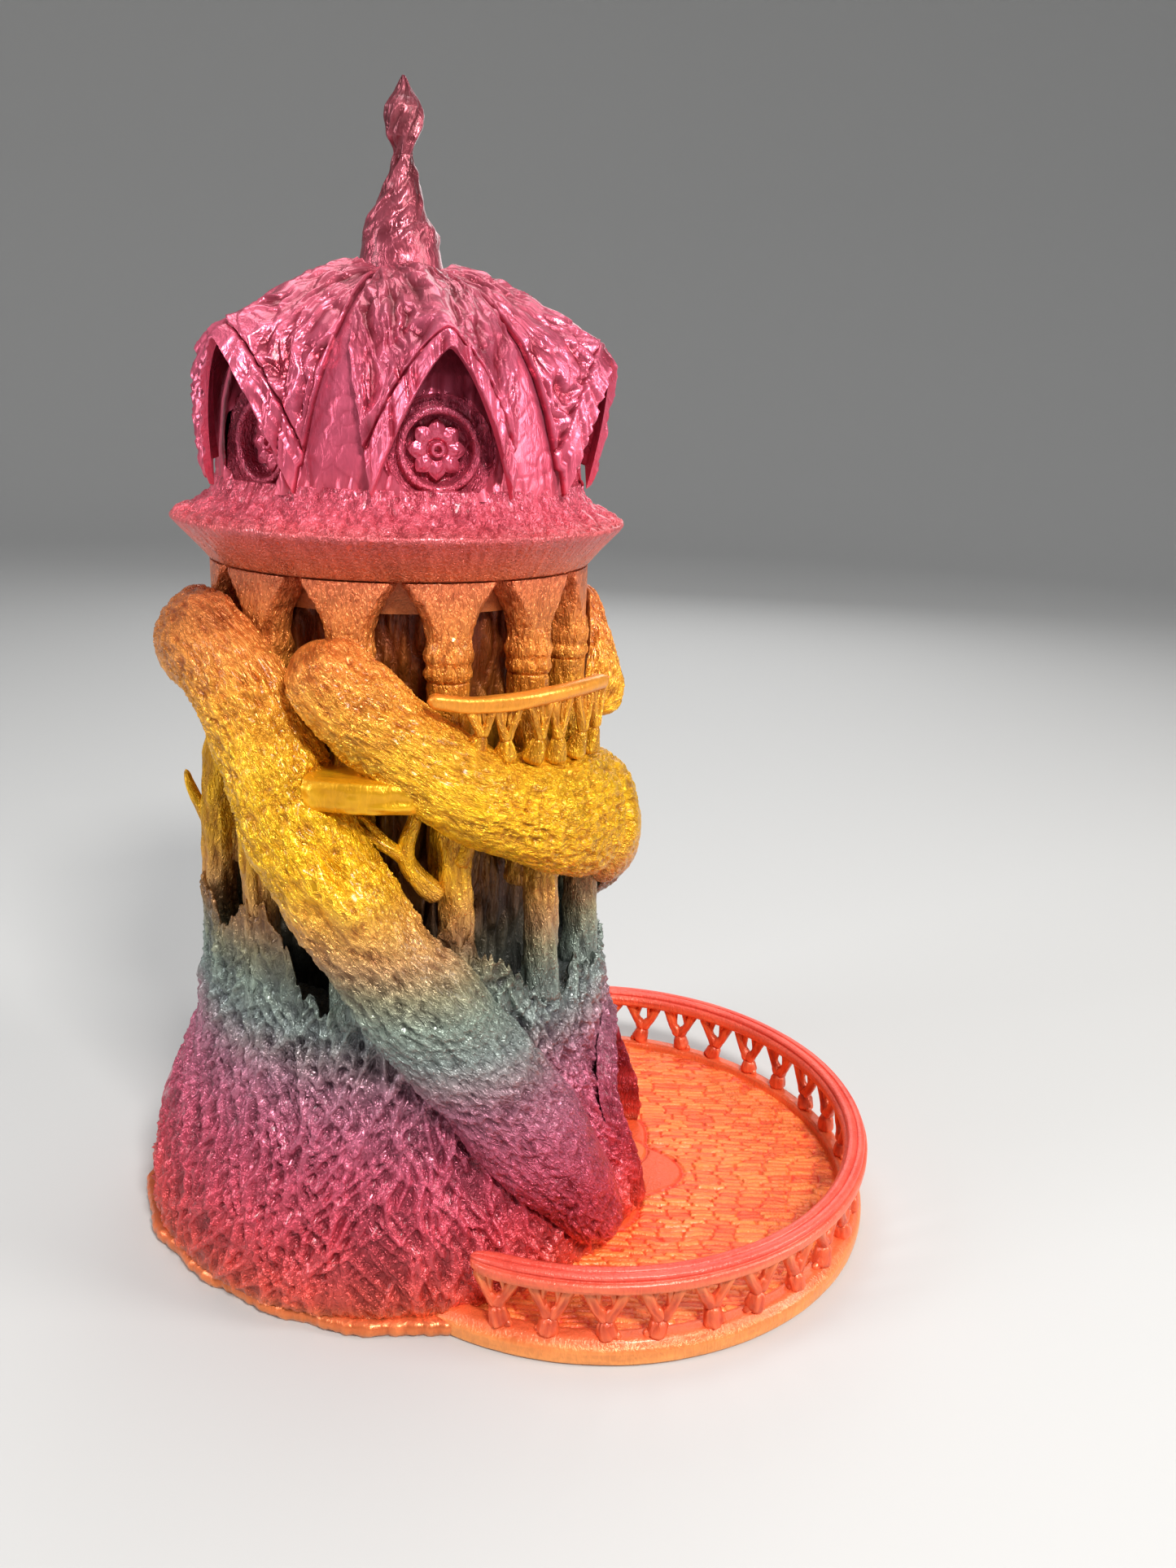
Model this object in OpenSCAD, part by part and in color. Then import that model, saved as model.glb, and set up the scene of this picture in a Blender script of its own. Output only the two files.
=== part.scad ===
// Tree-trunk dice tower: a hollow round tower wrapped in thick roots, a lift-off roof
// with hooded windows, and a round catching tray with a railing.
// Millimetres, +Z up. The origin is on the tower's axis, on the table. The tray is towards +X.

/* [Tower] */
// Inside radius of the drop tube that the dice fall through
tube_in_r = 31; // [29:0.5:31]
// Wall of the drop tube
tube_wall = 2.5; // [2:0.1:2.5]
// Height of the seam where the roof lifts off
seam_z = 167.7; // [166:0.1:170]
// Height of the flat top of the flared root foot
foot_top_z = 68; // [66:1:70]

/* [Columns] */
// Number of columns round the drop tube
column_count = 12; // [12:1:12]
// Radius of the ring of column centres
column_ring_r = 40; // [39.5:0.1:40]
// Radius of the ring of the lower trunks' centres
trunk_ring_r = 45.5; // [45:0.1:45.5]
// Radius of a column's shaft
shaft_r = 4; // [3.5:0.1:4.2]
// Azimuth of the first column, measured from the front (-Y) towards the tray (+X)
column_start_az = 22.5; // [22:0.5:23]

/* [Base] */
// Thickness of the base plinth and of the tray plate
plate_t = 4; // [3:0.5:4]
// Mean radius of the wavy base plinth
plinth_r = 66.4; // [66.2:0.1:66.8]
// Height of the waves in the plinth's edge
plinth_wave = 0.5; // [0:0.1:0.6]

/* [Tray] */
// Distance from the tower's axis to the tray's centre
tray_x = 52; // [51:0.5:53]
// Sideways offset of the tray's centre
tray_y = -1.2; // [-1.5:0.1:0]
// Outside radius of the tray plate
tray_r = 72; // [71.8:0.1:72.5]
// Thickness of the planked floor on the plate
floor_t = 0.8; // [0.6:0.1:1]
// Height of the railing's underside
rail_low_z = 18.5; // [18:0.5:20]
// Angle of each end of the railing, from the +X side
rail_end_deg = 112.5; // [108:0.5:113]
// Number of forked posts under the railing
post_count = 22; // [18:1:26]

/* [Doorway] */
// Half width of the doorway
door_half_w = 20; // [18:0.5:20]
// Height at which the doorway's arch begins
door_spring_z = 28; // [26:1:28]
// Thickness of the door frame
frame_t = 4; // [3:0.5:4]

/* [Baffles] */
// Slope of each baffle from the horizontal, in degrees
baffle_deg = 40; // [35:1:42]
// How far each baffle reaches across the tube
baffle_reach = 34; // [32:1:34]
// Thickness of the baffles and the exit ramp
baffle_t = 3; // [2.5:0.1:3.5]

/* [Roof] */
// Number of hooded windows round the roof
window_count = 6; // [6:1:6]
// Azimuth of the first window, measured from the front (-Y) towards the tray (+X)
window_start_az = 20; // [18:1:22]
// Height of the windows' centres
window_z = 194; // [193:0.5:195]
// Running gap between the roof's spigot and the drop tube
spigot_gap = 0.4; // [0.3:0.1:0.6]
// Depth of the spigot below the seam
spigot_depth = 7; // [5:0.5:7]
// Height of the finial's tip
tip_z = 270; // [268:1:272]

/* [Hidden] */
$fn = 96;

tube_out_r = tube_in_r + tube_wall;
floor_z = plate_t + floor_t;
curb_z = 6;
curb_in_r = 66;
rail_mid_r = 68.8;
rail_high_z = rail_low_z + 4.7;
capital_low_z = 156;
collar_low_z = 146;
collar_high_z = 153.6;
trunk_high_z = 121;
trunk_low_r = 4.2;
trunk_high_r = 3.9;
shaft_low_z = 96;
seat_ring_r = 36.6;
seat_low_z = 160;
body_gap = 0.3;
bark_in_r = 49.75;
bark_t = 0.75;
outer_arch_spring_z = door_spring_z + 2;
frame_reach = 2.4;
brim_floor_t = 3;
deck_in_r = 28;
deck_out_r = 41;
dome_low_z = 184;

// Outside profile of the flared foot: [height, radius]
foot_profile = [[plate_t, 64.6], [9, 65.3], [16, 64.4], [26, 61.2], [36, 57.3], [50, 53], [foot_top_z, 50.6]];
// What the roots lie against, from the foot up past the trunks, the balcony and the collars
seat_profile = concat(
    [for (p = foot_profile) [p[0], p[1] + body_gap]],
    [[94, 50.9], [99, 50], [trunk_high_z, 50], [124, 44.6], [143, 44.8], [147, 45.6], [170, 45.6]]
);
function seat_r(z) = lookup(z, seat_profile);
// The same, with its step at the balcony smoothed away, for the roots' outer faces
skin_profile = concat(
    [for (p = foot_profile) [p[0], p[1] + body_gap]],
    [[92, 50.9], [106, 50], [116, 48.6], [124, 47], [134, 45.4], [144, 45], [170, 45.6]]
);
function skin_r(z) = lookup(z, skin_profile);

// Outside profile of the roof's drum and cone: [height, radius]
dome_profile = [
    [dome_low_z, 42], [192, 41.5], [202, 40], [209, 38], [215, 35], [220, 30.5], [224, 25],
    [227, 18], [229.6, 10]
];
dome_wall = 2.5;
function dome_r(z) = lookup(z, dome_profile);

// Azimuths are turned into angles from +X by subtracting a quarter turn
function az_to_deg(az) = az - 90;
// A point at a radius, azimuth and height
function at(r, az, z) = [r * sin(az), -r * cos(az), z];

// Smooth curve through control points, with steps points between neighbours
function blend(a, b, c, d, t) = 0.5 * (2 * b + (c - a) * t + (2 * a - 5 * b + 4 * c - d) * t * t
    + (3 * b - a - 3 * c + d) * t * t * t);
function smooth_path(p, steps) = [
    for (i = [0 : len(p) - 2], k = [0 : steps - 1])
        blend(p[max(i - 1, 0)], p[i], p[i + 1], p[min(i + 2, len(p) - 1)], k / steps),
    p[len(p) - 1]
];

// ---------- roots ----------
// Control points of each root: [azimuth, height, half width, thickness]
root_lower_path = [
    [53, 16, 8, 7], [46, 32, 13.5, 10], [31, 53, 14.5, 11.5], [17, 70, 14, 11.5], [7, 82, 13, 11.5],
    [-2, 94, 12.5, 11.5], [-12, 108, 12.3, 11.5], [-20, 119, 12.2, 12], [-30, 132.5, 12, 12],
    [-38, 143, 12, 12.2], [-50, 149.5, 12, 12.2], [-70, 149, 12, 12.2], [-92, 146, 11.5, 12],
    [-118, 148, 10.5, 10.5], [-142, 153, 8, 8], [-160, 156, 4, 4.5]
];
root_upper_path = [
    [-18.5, 153.5, 4, 5], [-13, 149, 9, 10], [-2, 141, 10.5, 12.5], [12, 131.5, 10.7, 13.5],
    [24, 124.5, 11, 13.5], [36, 119, 12, 12.5], [48, 116, 14.5, 11.5], [62, 113.5, 16, 10.5],
    [76, 110, 16.5, 10], [90, 104, 16, 9.5], [110, 92, 13.5, 9.5], [132, 75, 12, 9.5],
    [154, 57, 11.5, 9], [174, 38, 11, 7.5], [190, 22, 9, 6], [197, 16, 6, 4.5]
];
root_side_path = [
    [112, 160, 5.5, 3], [108, 154, 8, 5], [102, 146, 8.5, 7.5], [96, 138, 8.5, 9.5], [90.5, 130.5, 5, 8]
];
arc_steps = 10;
chord_steps = 6;
ring_points = arc_steps + chord_steps;
// Share of a root's thickness below which it keeps to the seat
root_edge = 0.4;

// One ring of a root: a rounded back over a flat side that lies on the tower
function root_ring(p, next) =
    let(
        r_mid = seat_r(p[1]) + p[3] / 2,
        run = (next[0] - p[0]) * PI / 180 * r_mid,
        rise = next[1] - p[1],
        long = norm([run, rise]),
        side = [-rise / long, run / long],
        spread = concat(
            [for (j = [0 : arc_steps]) [p[2] * cos(180 * j / arc_steps), p[3] * sin(180 * j / arc_steps)]],
            [for (j = [1 : chord_steps - 1]) [p[2] * (2 * j / chord_steps - 1), 0]]
        )
    )
    [for (s = spread)
        let(z = p[1] + s[0] * side[1], az = p[0] + s[0] * side[0] / r_mid * 180 / PI)
        at((s[1] > root_edge * p[3] ? skin_r(z) : seat_r(z)) + s[1], az, z)];

module root_limb(path, steps) {
    stations = smooth_path(path, steps);
    last = len(stations) - 1;
    rings = [for (i = [0 : last])
        root_ring(stations[i], i < last ? stations[i + 1] : 2 * stations[i] - stations[i - 1])];
    centres = [for (i = [0, last]) at(seat_r(stations[i][1]) + stations[i][3] / 2, stations[i][0], stations[i][1])];
    points = concat([for (r = rings) each r], centres);
    n = ring_points;
    first_c = n * (last + 1);
    side_faces = [for (i = [0 : last - 1], j = [0 : n - 1])
        let(a = i * n + j, b = i * n + (j + 1) % n) each [[a, b, b + n], [a, b + n, a + n]]];
    start_faces = [for (j = [0 : n - 1]) [first_c, (j + 1) % n, j]];
    end_faces = [for (j = [0 : n - 1]) [first_c + 1, last * n + j, last * n + (j + 1) % n]];
    polyhedron(points, concat(side_faces, start_faces, end_faces), convexity = 6);
}

// Root that climbs from the front of the tray, over the front and round the left side
module root_lower() {
    color("goldenrod") difference() {
        root_limb(root_lower_path, 3);
        balcony_ledge_solid(body_gap);
    }
}

// Root with a blunt tip at the front that runs down round the right side to the back
module root_upper() {
    color("gold") difference() {
        root_limb(root_upper_path, 3);
        balcony_ledge_solid(body_gap);
    }
}

// Short root that comes down the right side behind the balcony
module root_side() {
    color("orange") root_limb(root_side_path, 3);
}

// ---------- balcony ----------
ledge_low_z = trunk_high_z;
ledge_high_z = 128.5;
ledge_in_r = 44.6;
ledge_out_r = 57;
ledge_az = [-13, 12];
balcony_rail_low_z = 142;
balcony_rail_high_z = 145;
balcony_rail_r = [50.4, 53.6];
balcony_rail_az = [17, 68];
balcony_post_az = [26, 34, 42, 50, 58, 66];
// Top of the upper root under the posts: [azimuth, height]
root_top_profile = [[17, 139], [26, 137.2], [34, 134.5], [46, 132], [58, 131.5], [70, 131]];

// Part of a ring between two azimuths, with the profile given as [radius, height] points
module ring_sector(profile, az_from, az_to) {
    rotate([0, 0, az_to_deg(az_from)])
        rotate_extrude(angle = az_to - az_from, $fn = 96) polygon(profile);
}

function box_profile(r0, r1, z0, z1) = [[r0, z0], [r1, z0], [r1, z1], [r0, z1]];

module balcony_ledge_solid(grow) {
    ring_sector(
        box_profile(ledge_in_r - grow, ledge_out_r + grow, ledge_low_z - grow, ledge_high_z + grow),
        ledge_az[0] - grow, ledge_az[1] + grow
    );
}

// Stretch of balcony floor that shows between the two front roots
module balcony_floor() {
    color("goldenrod") ring_sector(
        [[ledge_in_r, ledge_low_z + 2], [ledge_out_r - 2, ledge_low_z], [ledge_out_r, ledge_low_z + 1.5],
         [ledge_out_r, ledge_high_z - 1], [ledge_out_r - 1, ledge_high_z], [ledge_in_r, ledge_high_z]],
        ledge_az[0], ledge_az[1]
    );
}

module balcony_rail() {
    mid = (balcony_rail_r[0] + balcony_rail_r[1]) / 2;
    color("orange") union() {
        ring_sector(
            [[balcony_rail_r[0], balcony_rail_low_z], [balcony_rail_r[1], balcony_rail_low_z],
             [balcony_rail_r[1] + 0.4, balcony_rail_low_z + 1.5], [balcony_rail_r[1], balcony_rail_high_z],
             [balcony_rail_r[0], balcony_rail_high_z]],
            balcony_rail_az[0], balcony_rail_az[1]
        );
        translate(at(mid, balcony_rail_az[1], balcony_rail_low_z))
            cylinder(r = 1.6, h = balcony_rail_high_z - balcony_rail_low_z, $fn = 32);
    }
}

// Outline of one forked post: a trunk that splits into two arms
module fork_outline(h, foot_w, arm_w, spread) {
    crotch = h * 0.42;
    polygon([
        [-foot_w / 2, 0], [foot_w / 2, 0], [foot_w * 0.32, crotch * 0.8],
        [spread + arm_w / 2, h], [spread - arm_w / 2, h], [0, crotch * 1.2],
        [-spread + arm_w / 2, h], [-spread - arm_w / 2, h], [-foot_w * 0.32, crotch * 0.8]
    ]);
}

// A forked post standing on its own radius of a railing
module fork_post(r, az, z, h, depth, foot_w, arm_w, spread) {
    translate(at(r, az, z)) rotate([90, 0, az])
        translate([0, 0, -depth / 2]) linear_extrude(depth)
            fork_outline(h, foot_w, arm_w, spread);
}

module balcony_posts() {
    mid = (balcony_rail_r[0] + balcony_rail_r[1]) / 2;
    color("goldenrod") for (az = balcony_post_az) {
        low = lookup(az, root_top_profile) + 2 * body_gap;
        fork_post(mid, az, low, balcony_rail_low_z - low, 2.4, 2.6, 1.5, 2.3);
    }
}

// Forks of the lower trunks that spread under the balcony
module branch_arms() {
    knot = at(47.6, 8.8, 109.5);
    color("peru") {
        limb(at(47.4, 14, 101.5), knot, 2.2, 1.9);
        limb(knot, at(47.6, 11, 118.5), 1.8, 1.3);
        limb(knot, at(47.6, 2.5, 114.5), 1.6, 0.9);
        translate(knot) sphere(r = 2.3, $fn = 24);
    }
}

// A straight tapered branch between two points
module limb(from, to, r_from, r_to) {
    v = to - from;
    translate(from) rotate([0, acos(v[2] / norm(v)), atan2(v[1], v[0])])
        cylinder(r1 = r_from, r2 = r_to, h = norm(v), $fn = 24);
}

// ---------- base and tray ----------
function plinth_outline() = [for (i = [0 : 143])
    let(a = i * 2.5, r = plinth_r + 1.6 * cos(4 * (a + 165)) + plinth_wave * sin(19 * a + 40))
    [r * cos(a), r * sin(a)]];

module plinth_solid(h) {
    linear_extrude(h) polygon(plinth_outline());
}

// Plate under the tower, open in the middle under the drop tube's ramp
module base_plinth() {
    color("orange") plinth_solid(plate_t);
}

module tray_plate() {
    color("sandybrown") difference() {
        translate([tray_x, tray_y, 0]) rotate_extrude($fn = 144) polygon([
            [0, 0], [tray_r - 0.8, 0], [tray_r, 0.8], [tray_r, curb_z - 1.8], [tray_r - 1.6, curb_z],
            [curb_in_r + 0.6, curb_z], [curb_in_r, plate_t], [0, plate_t]
        ]);
        translate([0, 0, -1]) plinth_solid(plate_t + 1);
        translate([0, 0, plate_t - 0.5]) cylinder(r = foot_profile[0][1] + 0.1, h = curb_z, $fn = 144);
    }
}

// Plan of the floor: the tray inside its curb, less the foot and the door frame, plus the doorway's passage
module floor_plan() {
    frame_w = door_half_w + frame_t + 0.2;
    difference() {
        translate([tray_x, tray_y]) circle(r = curb_in_r, $fn = 144);
        difference() {
            union() {
                circle(r = foot_profile[0][1] + 0.1, $fn = 144);
                intersection() {
                    circle(r = foot_profile[0][1] + frame_reach + 0.4, $fn = 144);
                    translate([0, -frame_w]) square([80, 2 * frame_w]);
                }
            }
            translate([tube_out_r, -door_half_w]) square([60, 2 * door_half_w]);
        }
        circle(r = tube_out_r);
    }
}

module tray_floor() {
    color("tomato") translate([0, 0, plate_t]) linear_extrude(floor_t) floor_plan();
}

medallion_centre = [45, -3];
medallion_r = 24;
medallion_petal = 7;

// Six-petalled flower in low relief where the dice roll out
module tray_medallion() {
    color("orangered") translate([0, 0, floor_z]) linear_extrude(0.4) intersection() {
        floor_plan();
        translate(medallion_centre) polygon([for (i = [0 : 71])
            let(a = i * 5, r = medallion_r + medallion_petal * pow(abs(cos(3 * (a + 5))), 1.5))
            [r * cos(a), r * sin(a)]]);
        translate([tube_out_r + 1, -door_half_w + 1]) square([60, 2 * door_half_w - 2]);
    }
}

module tray_rail() {
    color("coral") translate([tray_x, tray_y, 0]) rotate([0, 0, -rail_end_deg])
        rotate_extrude(angle = 2 * rail_end_deg, $fn = 144) polygon([
            [66.2, rail_low_z], [71, rail_low_z], [72, rail_low_z + 0.8], [72, rail_low_z + 2.6],
            [71.1, rail_low_z + 3.2], [71.1, rail_low_z + 3.9], [70.2, rail_high_z],
            [67.6, rail_high_z], [66.8, rail_low_z + 3.9], [66.8, rail_low_z + 3.2],
            [65.8, rail_low_z + 2.4], [65.8, rail_low_z + 1]
        ]);
}

// Forked posts that carry the railing, one every few degrees
module tray_posts() {
    step = 2 * (rail_end_deg - 4) / (post_count - 1);
    color("darkorange") translate([tray_x, tray_y, 0]) for (i = [0 : post_count - 1])
        fork_post(rail_mid_r, 90 - (rail_end_deg - 4) + i * step, curb_z, rail_low_z - curb_z, 3.2, 4, 2.4, 4.6);
}

// ---------- foot, doorway and inside ----------
module arch_prism(half_w, spring_z, from_z, length) {
    rotate([90, 0, 90]) linear_extrude(length) union() {
        translate([-half_w, from_z]) square([2 * half_w, spring_z - from_z]);
        translate([0, spring_z]) circle(r = half_w, $fn = 72);
    }
}

module root_foot() {
    color("mediumvioletred") difference() {
        rotate_extrude($fn = 144) polygon(concat(
            [for (p = foot_profile) [p[1], p[0]]],
            [[tube_out_r, foot_top_z], [tube_out_r, plate_t]]
        ));
        arch_prism(door_half_w + frame_t, outer_arch_spring_z, 0, 80);
    }
}

// Ragged collar of bark that stands up round the trunks' feet
module bark_edge() {
    sector = 9;
    split = 0.4;
    color("slategray") for (i = [0 : 360 / sector - 1]) {
        az = i * sector;
        h = 9 + 7 * sin(az * 2 + 60) + 6 * sin(az * 11) + 4 * sin(az * 17 + 30);
        if (h > 2) ring_sector(
            box_profile(bark_in_r, bark_in_r + bark_t, foot_top_z, foot_top_z + h), az, az + sector - split
        );
    }
}

module door_frame() {
    color("palevioletred") difference() {
        intersection() {
            arch_prism(door_half_w + frame_t, outer_arch_spring_z, plate_t, 80);
            rotate_extrude($fn = 144) polygon(concat(
                [[tube_out_r, plate_t]],
                [for (p = foot_profile) [p[1] + frame_reach, p[0]]],
                [[tube_out_r, foot_top_z]]
            ));
        }
        translate([-1, 0, 0]) arch_prism(door_half_w, door_spring_z, 0, 90);
    }
}

module drop_tube() {
    color("saddlebrown") difference() {
        translate([0, 0, plate_t]) cylinder(r = tube_out_r, h = seat_low_z - plate_t);
        cylinder(r = tube_in_r, h = 2 * seat_low_z);
        arch_prism(door_half_w, door_spring_z, 0, 80);
    }
}

// Ring on top of the tube that the roof's brim rests on
module seat_ring() {
    color("peru") translate([0, 0, seat_low_z]) difference() {
        cylinder(r = seat_ring_r, h = seam_z - seat_low_z);
        translate([0, 0, -1]) cylinder(r = tube_in_r, h = 20);
    }
}

// A sloping shelf across the tube: its high end is on the wall at +X when side is 1
module baffle(side, wall_z) {
    long = baffle_reach / cos(baffle_deg);
    color("chocolate") intersection() {
        cylinder(r = tube_in_r, h = seam_z);
        translate([side * tube_in_r, 0, wall_z]) rotate([0, side > 0 ? -baffle_deg : baffle_deg, 0])
            translate([side > 0 ? -long : -4, -40, -baffle_t]) cube([long + 4, 80, baffle_t]);
    }
}

module baffle_upper() baffle(1, 146);
module baffle_middle() baffle(-1, 114);
module baffle_lower() baffle(1, 86);

// Ramp at the bottom of the tube that rolls the dice out of the doorway
module exit_ramp() {
    fall = 32;
    slope = atan2(fall, 2 * tube_in_r);
    color("orangered") intersection() {
        translate([0, 0, plate_t]) cylinder(r = tube_in_r, h = 100);
        translate([tube_in_r, 0, floor_z]) rotate([0, slope, 0])
            translate([-90, -40, -baffle_t]) cube([100, 80, baffle_t]);
    }
}

// ---------- columns ----------
function column_az(i) = column_start_az + 360 / column_count * (i - 1);

// A column: a lower trunk, a shaft, a turned collar and a trumpet-shaped capital
module column(i) {
    az = column_az(i);
    color("darkorange") union() {
        translate(at(trunk_ring_r, az, 0)) rotate_extrude($fn = 48) polygon([
            [0, foot_top_z], [trunk_low_r, foot_top_z], [trunk_high_r, trunk_high_z - 5],
            [trunk_high_r - 1.4, trunk_high_z], [0, trunk_high_z]
        ]);
        translate(at(column_ring_r, az, shaft_low_z))
            cylinder(r = shaft_r, h = collar_low_z + 0.5 - shaft_low_z, $fn = 48);
        translate(at(column_ring_r, az, 0)) rotate_extrude($fn = 48) polygon([
            [0, collar_low_z], [4.3, collar_low_z], [5.1, collar_low_z + 1.4], [5.1, collar_low_z + 2.6],
            [4.6, collar_low_z + 3.3], [4.6, collar_low_z + 4.2], [5.2, collar_low_z + 5],
            [5.2, collar_low_z + 6.3], [4.4, collar_high_z], [4.3, capital_low_z], [0, capital_low_z]
        ]);
        intersection() {
            translate(at(column_ring_r, az, 0)) rotate_extrude($fn = 48) polygon([
                [0, capital_low_z], [4.3, capital_low_z], [5.2, 159], [7.2, 162.5], [8.9, 165.2],
                [9.7, seam_z], [0, seam_z]
            ]);
            difference() {
                translate([0, 0, capital_low_z]) cylinder(r = 44, h = seam_z - capital_low_z);
                cylinder(r = seat_ring_r, h = 200);
            }
        }
    }
}

// ---------- roof ----------
// Flared brim with a hollow behind it
module roof_brim() {
    color("indianred") rotate_extrude($fn = 144) polygon([
        [deck_out_r, seam_z], [44, seam_z], [46.5, 170.7], [52, 176.6], [52.2, 177.4], [51, 178],
        [46.5, 179.8], [43.4, 182], [42, dome_low_z], [39.5, dome_low_z], [41, 180.5], [47, 177.5],
        [42, seam_z + brim_floor_t], [deck_out_r, seam_z + brim_floor_t]
    ]);
}

// Flat ring under the roof that sits on the tube's seat ring
module roof_deck() {
    color("peru") translate([0, 0, seam_z]) difference() {
        cylinder(r = deck_out_r, h = brim_floor_t);
        translate([0, 0, -1]) cylinder(r = deck_in_r, h = 20);
    }
}

// Short ring under the brim that locates the roof in the tube
module roof_spigot() {
    color("peru") translate([0, 0, seam_z - spigot_depth]) difference() {
        cylinder(r = tube_in_r - spigot_gap, h = spigot_depth);
        translate([0, 0, -1]) cylinder(r = deck_in_r, h = 20);
    }
}

window_bore_r = 12;

module at_window(i) {
    az = window_start_az + 360 / window_count * (i - 1);
    rotate([0, 0, az]) translate([0, 0, window_z]) rotate([90, 0, 0]) children();
}

drum_count = 4;
dome_inner = [for (i = [0 : len(dome_profile) - 1])
    [max(dome_profile[i][1] - dome_wall, 0), dome_profile[i][0] - (i > drum_count ? dome_wall * 0.7 : 0)]];

// Upright wall of the roof with its six window bores
module roof_drum() {
    color("mediumvioletred") difference() {
        rotate_extrude($fn = 144) polygon(concat(
            [for (i = [0 : drum_count]) [dome_profile[i][1], dome_profile[i][0]]],
            [for (i = [drum_count : -1 : 0]) dome_inner[i]]
        ));
        for (i = [1 : window_count]) at_window(i) translate([0, 0, 30]) cylinder(r = window_bore_r, h = 20, $fn = 64);
    }
}

// Shallow cone that closes the roof under the spire
module roof_cone() {
    last = len(dome_profile) - 1;
    color("mediumvioletred") rotate_extrude($fn = 144) polygon(concat(
        [for (i = [drum_count : last]) [dome_profile[i][1], dome_profile[i][0]]],
        [[0, dome_profile[last][0]], [0, dome_inner[last][1]]],
        [for (i = [last : -1 : drum_count]) dome_inner[i]]
    ));
}

// Recessed cup with a raised round window frame, seen under each hood
module window_ring(i) {
    color("hotpink") at_window(i) rotate_extrude($fn = 64) polygon([
        [5.6, 34], [window_bore_r, 34], [window_bore_r, 38.6], [window_bore_r - 1.4, 38.6],
        [window_bore_r - 1.4, 36], [8.4, 36], [8.4, 37.4], [7.6, 38], [6.8, 37.4], [6.4, 36], [5.6, 36]
    ]);
}

// Eight-petalled rosette with a holed button in the middle of each window
module rosette(i) {
    petal_r = 3.4;
    color("hotpink") at_window(i) translate([0, 0, 34]) difference() {
        union() {
            cylinder(r = 5.6, h = 1.2, $fn = 64);
            for (k = [0 : 7]) rotate([0, 0, 45 * k]) translate([petal_r, 0, 0]) cylinder(r = 1.5, h = 1.8, $fn = 24);
            cylinder(r = 2.2, h = 2.6, $fn = 32);
        }
        translate([0, 0, 1.4]) cylinder(r = 0.8, h = 4, $fn = 24);
    }
}

// Hood over a window. Stations along its ridge: [ridge radius, ridge height, hem height, hem half angle]
hood_path = [
    [11.6, 231, 229.2, 27], [18.5, 228.6, 226, 28], [26, 225.5, 220, 28.3], [34, 221.8, 212, 26.5],
    [40.5, 218.8, 203, 23.8], [45, 216.3, 194, 21.6], [47.8, 213.5, 184.4, 19.2]
];
hood_half = 6;
hood_wall = 1.5;

function hood_point(p, v, lift) =
    let(
        t = abs(v),
        hem_r = dome_r(p[2]) + 0.35 + (p[2] < 190 ? 1.2 : 0)
    )
    [
        p[0] + (hem_r - p[0]) * pow(t, 1.5) + lift * (0.35 + 0.65 * (p[0] > 30 ? 1 : 0.2)),
        sign(v) * p[3] * pow(t, 0.85),
        p[1] + (p[2] - p[1]) * pow(t, 1.15) + lift * (p[0] > 30 ? 0.35 : 0.8)
    ];

module dormer_hood(i) {
    az0 = window_start_az + 360 / window_count * (i - 1);
    rows = smooth_path(hood_path, 2);
    m = 2 * hood_half;
    w = m + 1;
    last = len(rows) - 1;
    count = w * (last + 1);
    points = [for (lift = [hood_wall, 0], p = rows, j = [0 : m])
        let(q = hood_point(p, j / hood_half - 1, lift)) at(q[0], az0 + q[1], q[2])];
    outer = [for (i = [0 : last - 1], j = [0 : m - 1])
        let(a = i * w + j) each [[a, a + w, a + w + 1], [a, a + w + 1, a + 1]]];
    inner = [for (f = outer) [f[0] + count, f[2] + count, f[1] + count]];
    rim = concat(
        [for (j = [0 : m - 1]) [j, j + 1]],
        [for (i = [0 : last - 1]) [i * w + m, (i + 1) * w + m]],
        [for (j = [m : -1 : 1]) [last * w + j, last * w + j - 1]],
        [for (i = [last : -1 : 1]) [i * w, (i - 1) * w]]
    );
    walls = [for (e = rim) each [[e[0], e[1], e[1] + count], [e[0], e[1] + count, e[0] + count]]];
    color("mediumvioletred") polyhedron(points, concat(outer, inner, walls), convexity = 6);
}

spire_low_z = dome_profile[8][0];
finial_low_z = 254;

module spire() {
    color("brown") rotate_extrude($fn = 64) polygon([
        [0, spire_low_z], [10, spire_low_z], [9.2, 233], [8.2, 237.5], [7.4, 241], [5.2, 245.5],
        [3.3, 250], [2.2, finial_low_z], [0, finial_low_z]
    ]);
}

module finial() {
    color("brown") rotate_extrude($fn = 48) polygon([
        [0, finial_low_z], [2.2, finial_low_z], [2.8, 257], [3.9, 261], [4.1, 263], [2.7, 265.5],
        [1.4, 267.5], [0.4, tip_z], [0, tip_z]
    ]);
}

base_plinth();
tray_plate();
tray_floor();
tray_medallion();
tray_posts();
tray_rail();
root_foot();
bark_edge();
door_frame();
exit_ramp();
drop_tube();
baffle_upper();
baffle_middle();
baffle_lower();
seat_ring();
for (i = [1 : column_count])
    column(i);
root_lower();
root_upper();
root_side();
branch_arms();
balcony_floor();
balcony_posts();
balcony_rail();
roof_brim();
roof_deck();
roof_spigot();
roof_drum();
roof_cone();
spire();
finial();
for (i = [1 : window_count]) {
    dormer_hood(i);
    window_ring(i);
    rosette(i);
}
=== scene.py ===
"""Looks of the tree-trunk dice tower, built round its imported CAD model."""
import math

import bmesh
import bpy
import numpy as np
from mathutils import Matrix, Vector


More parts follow.
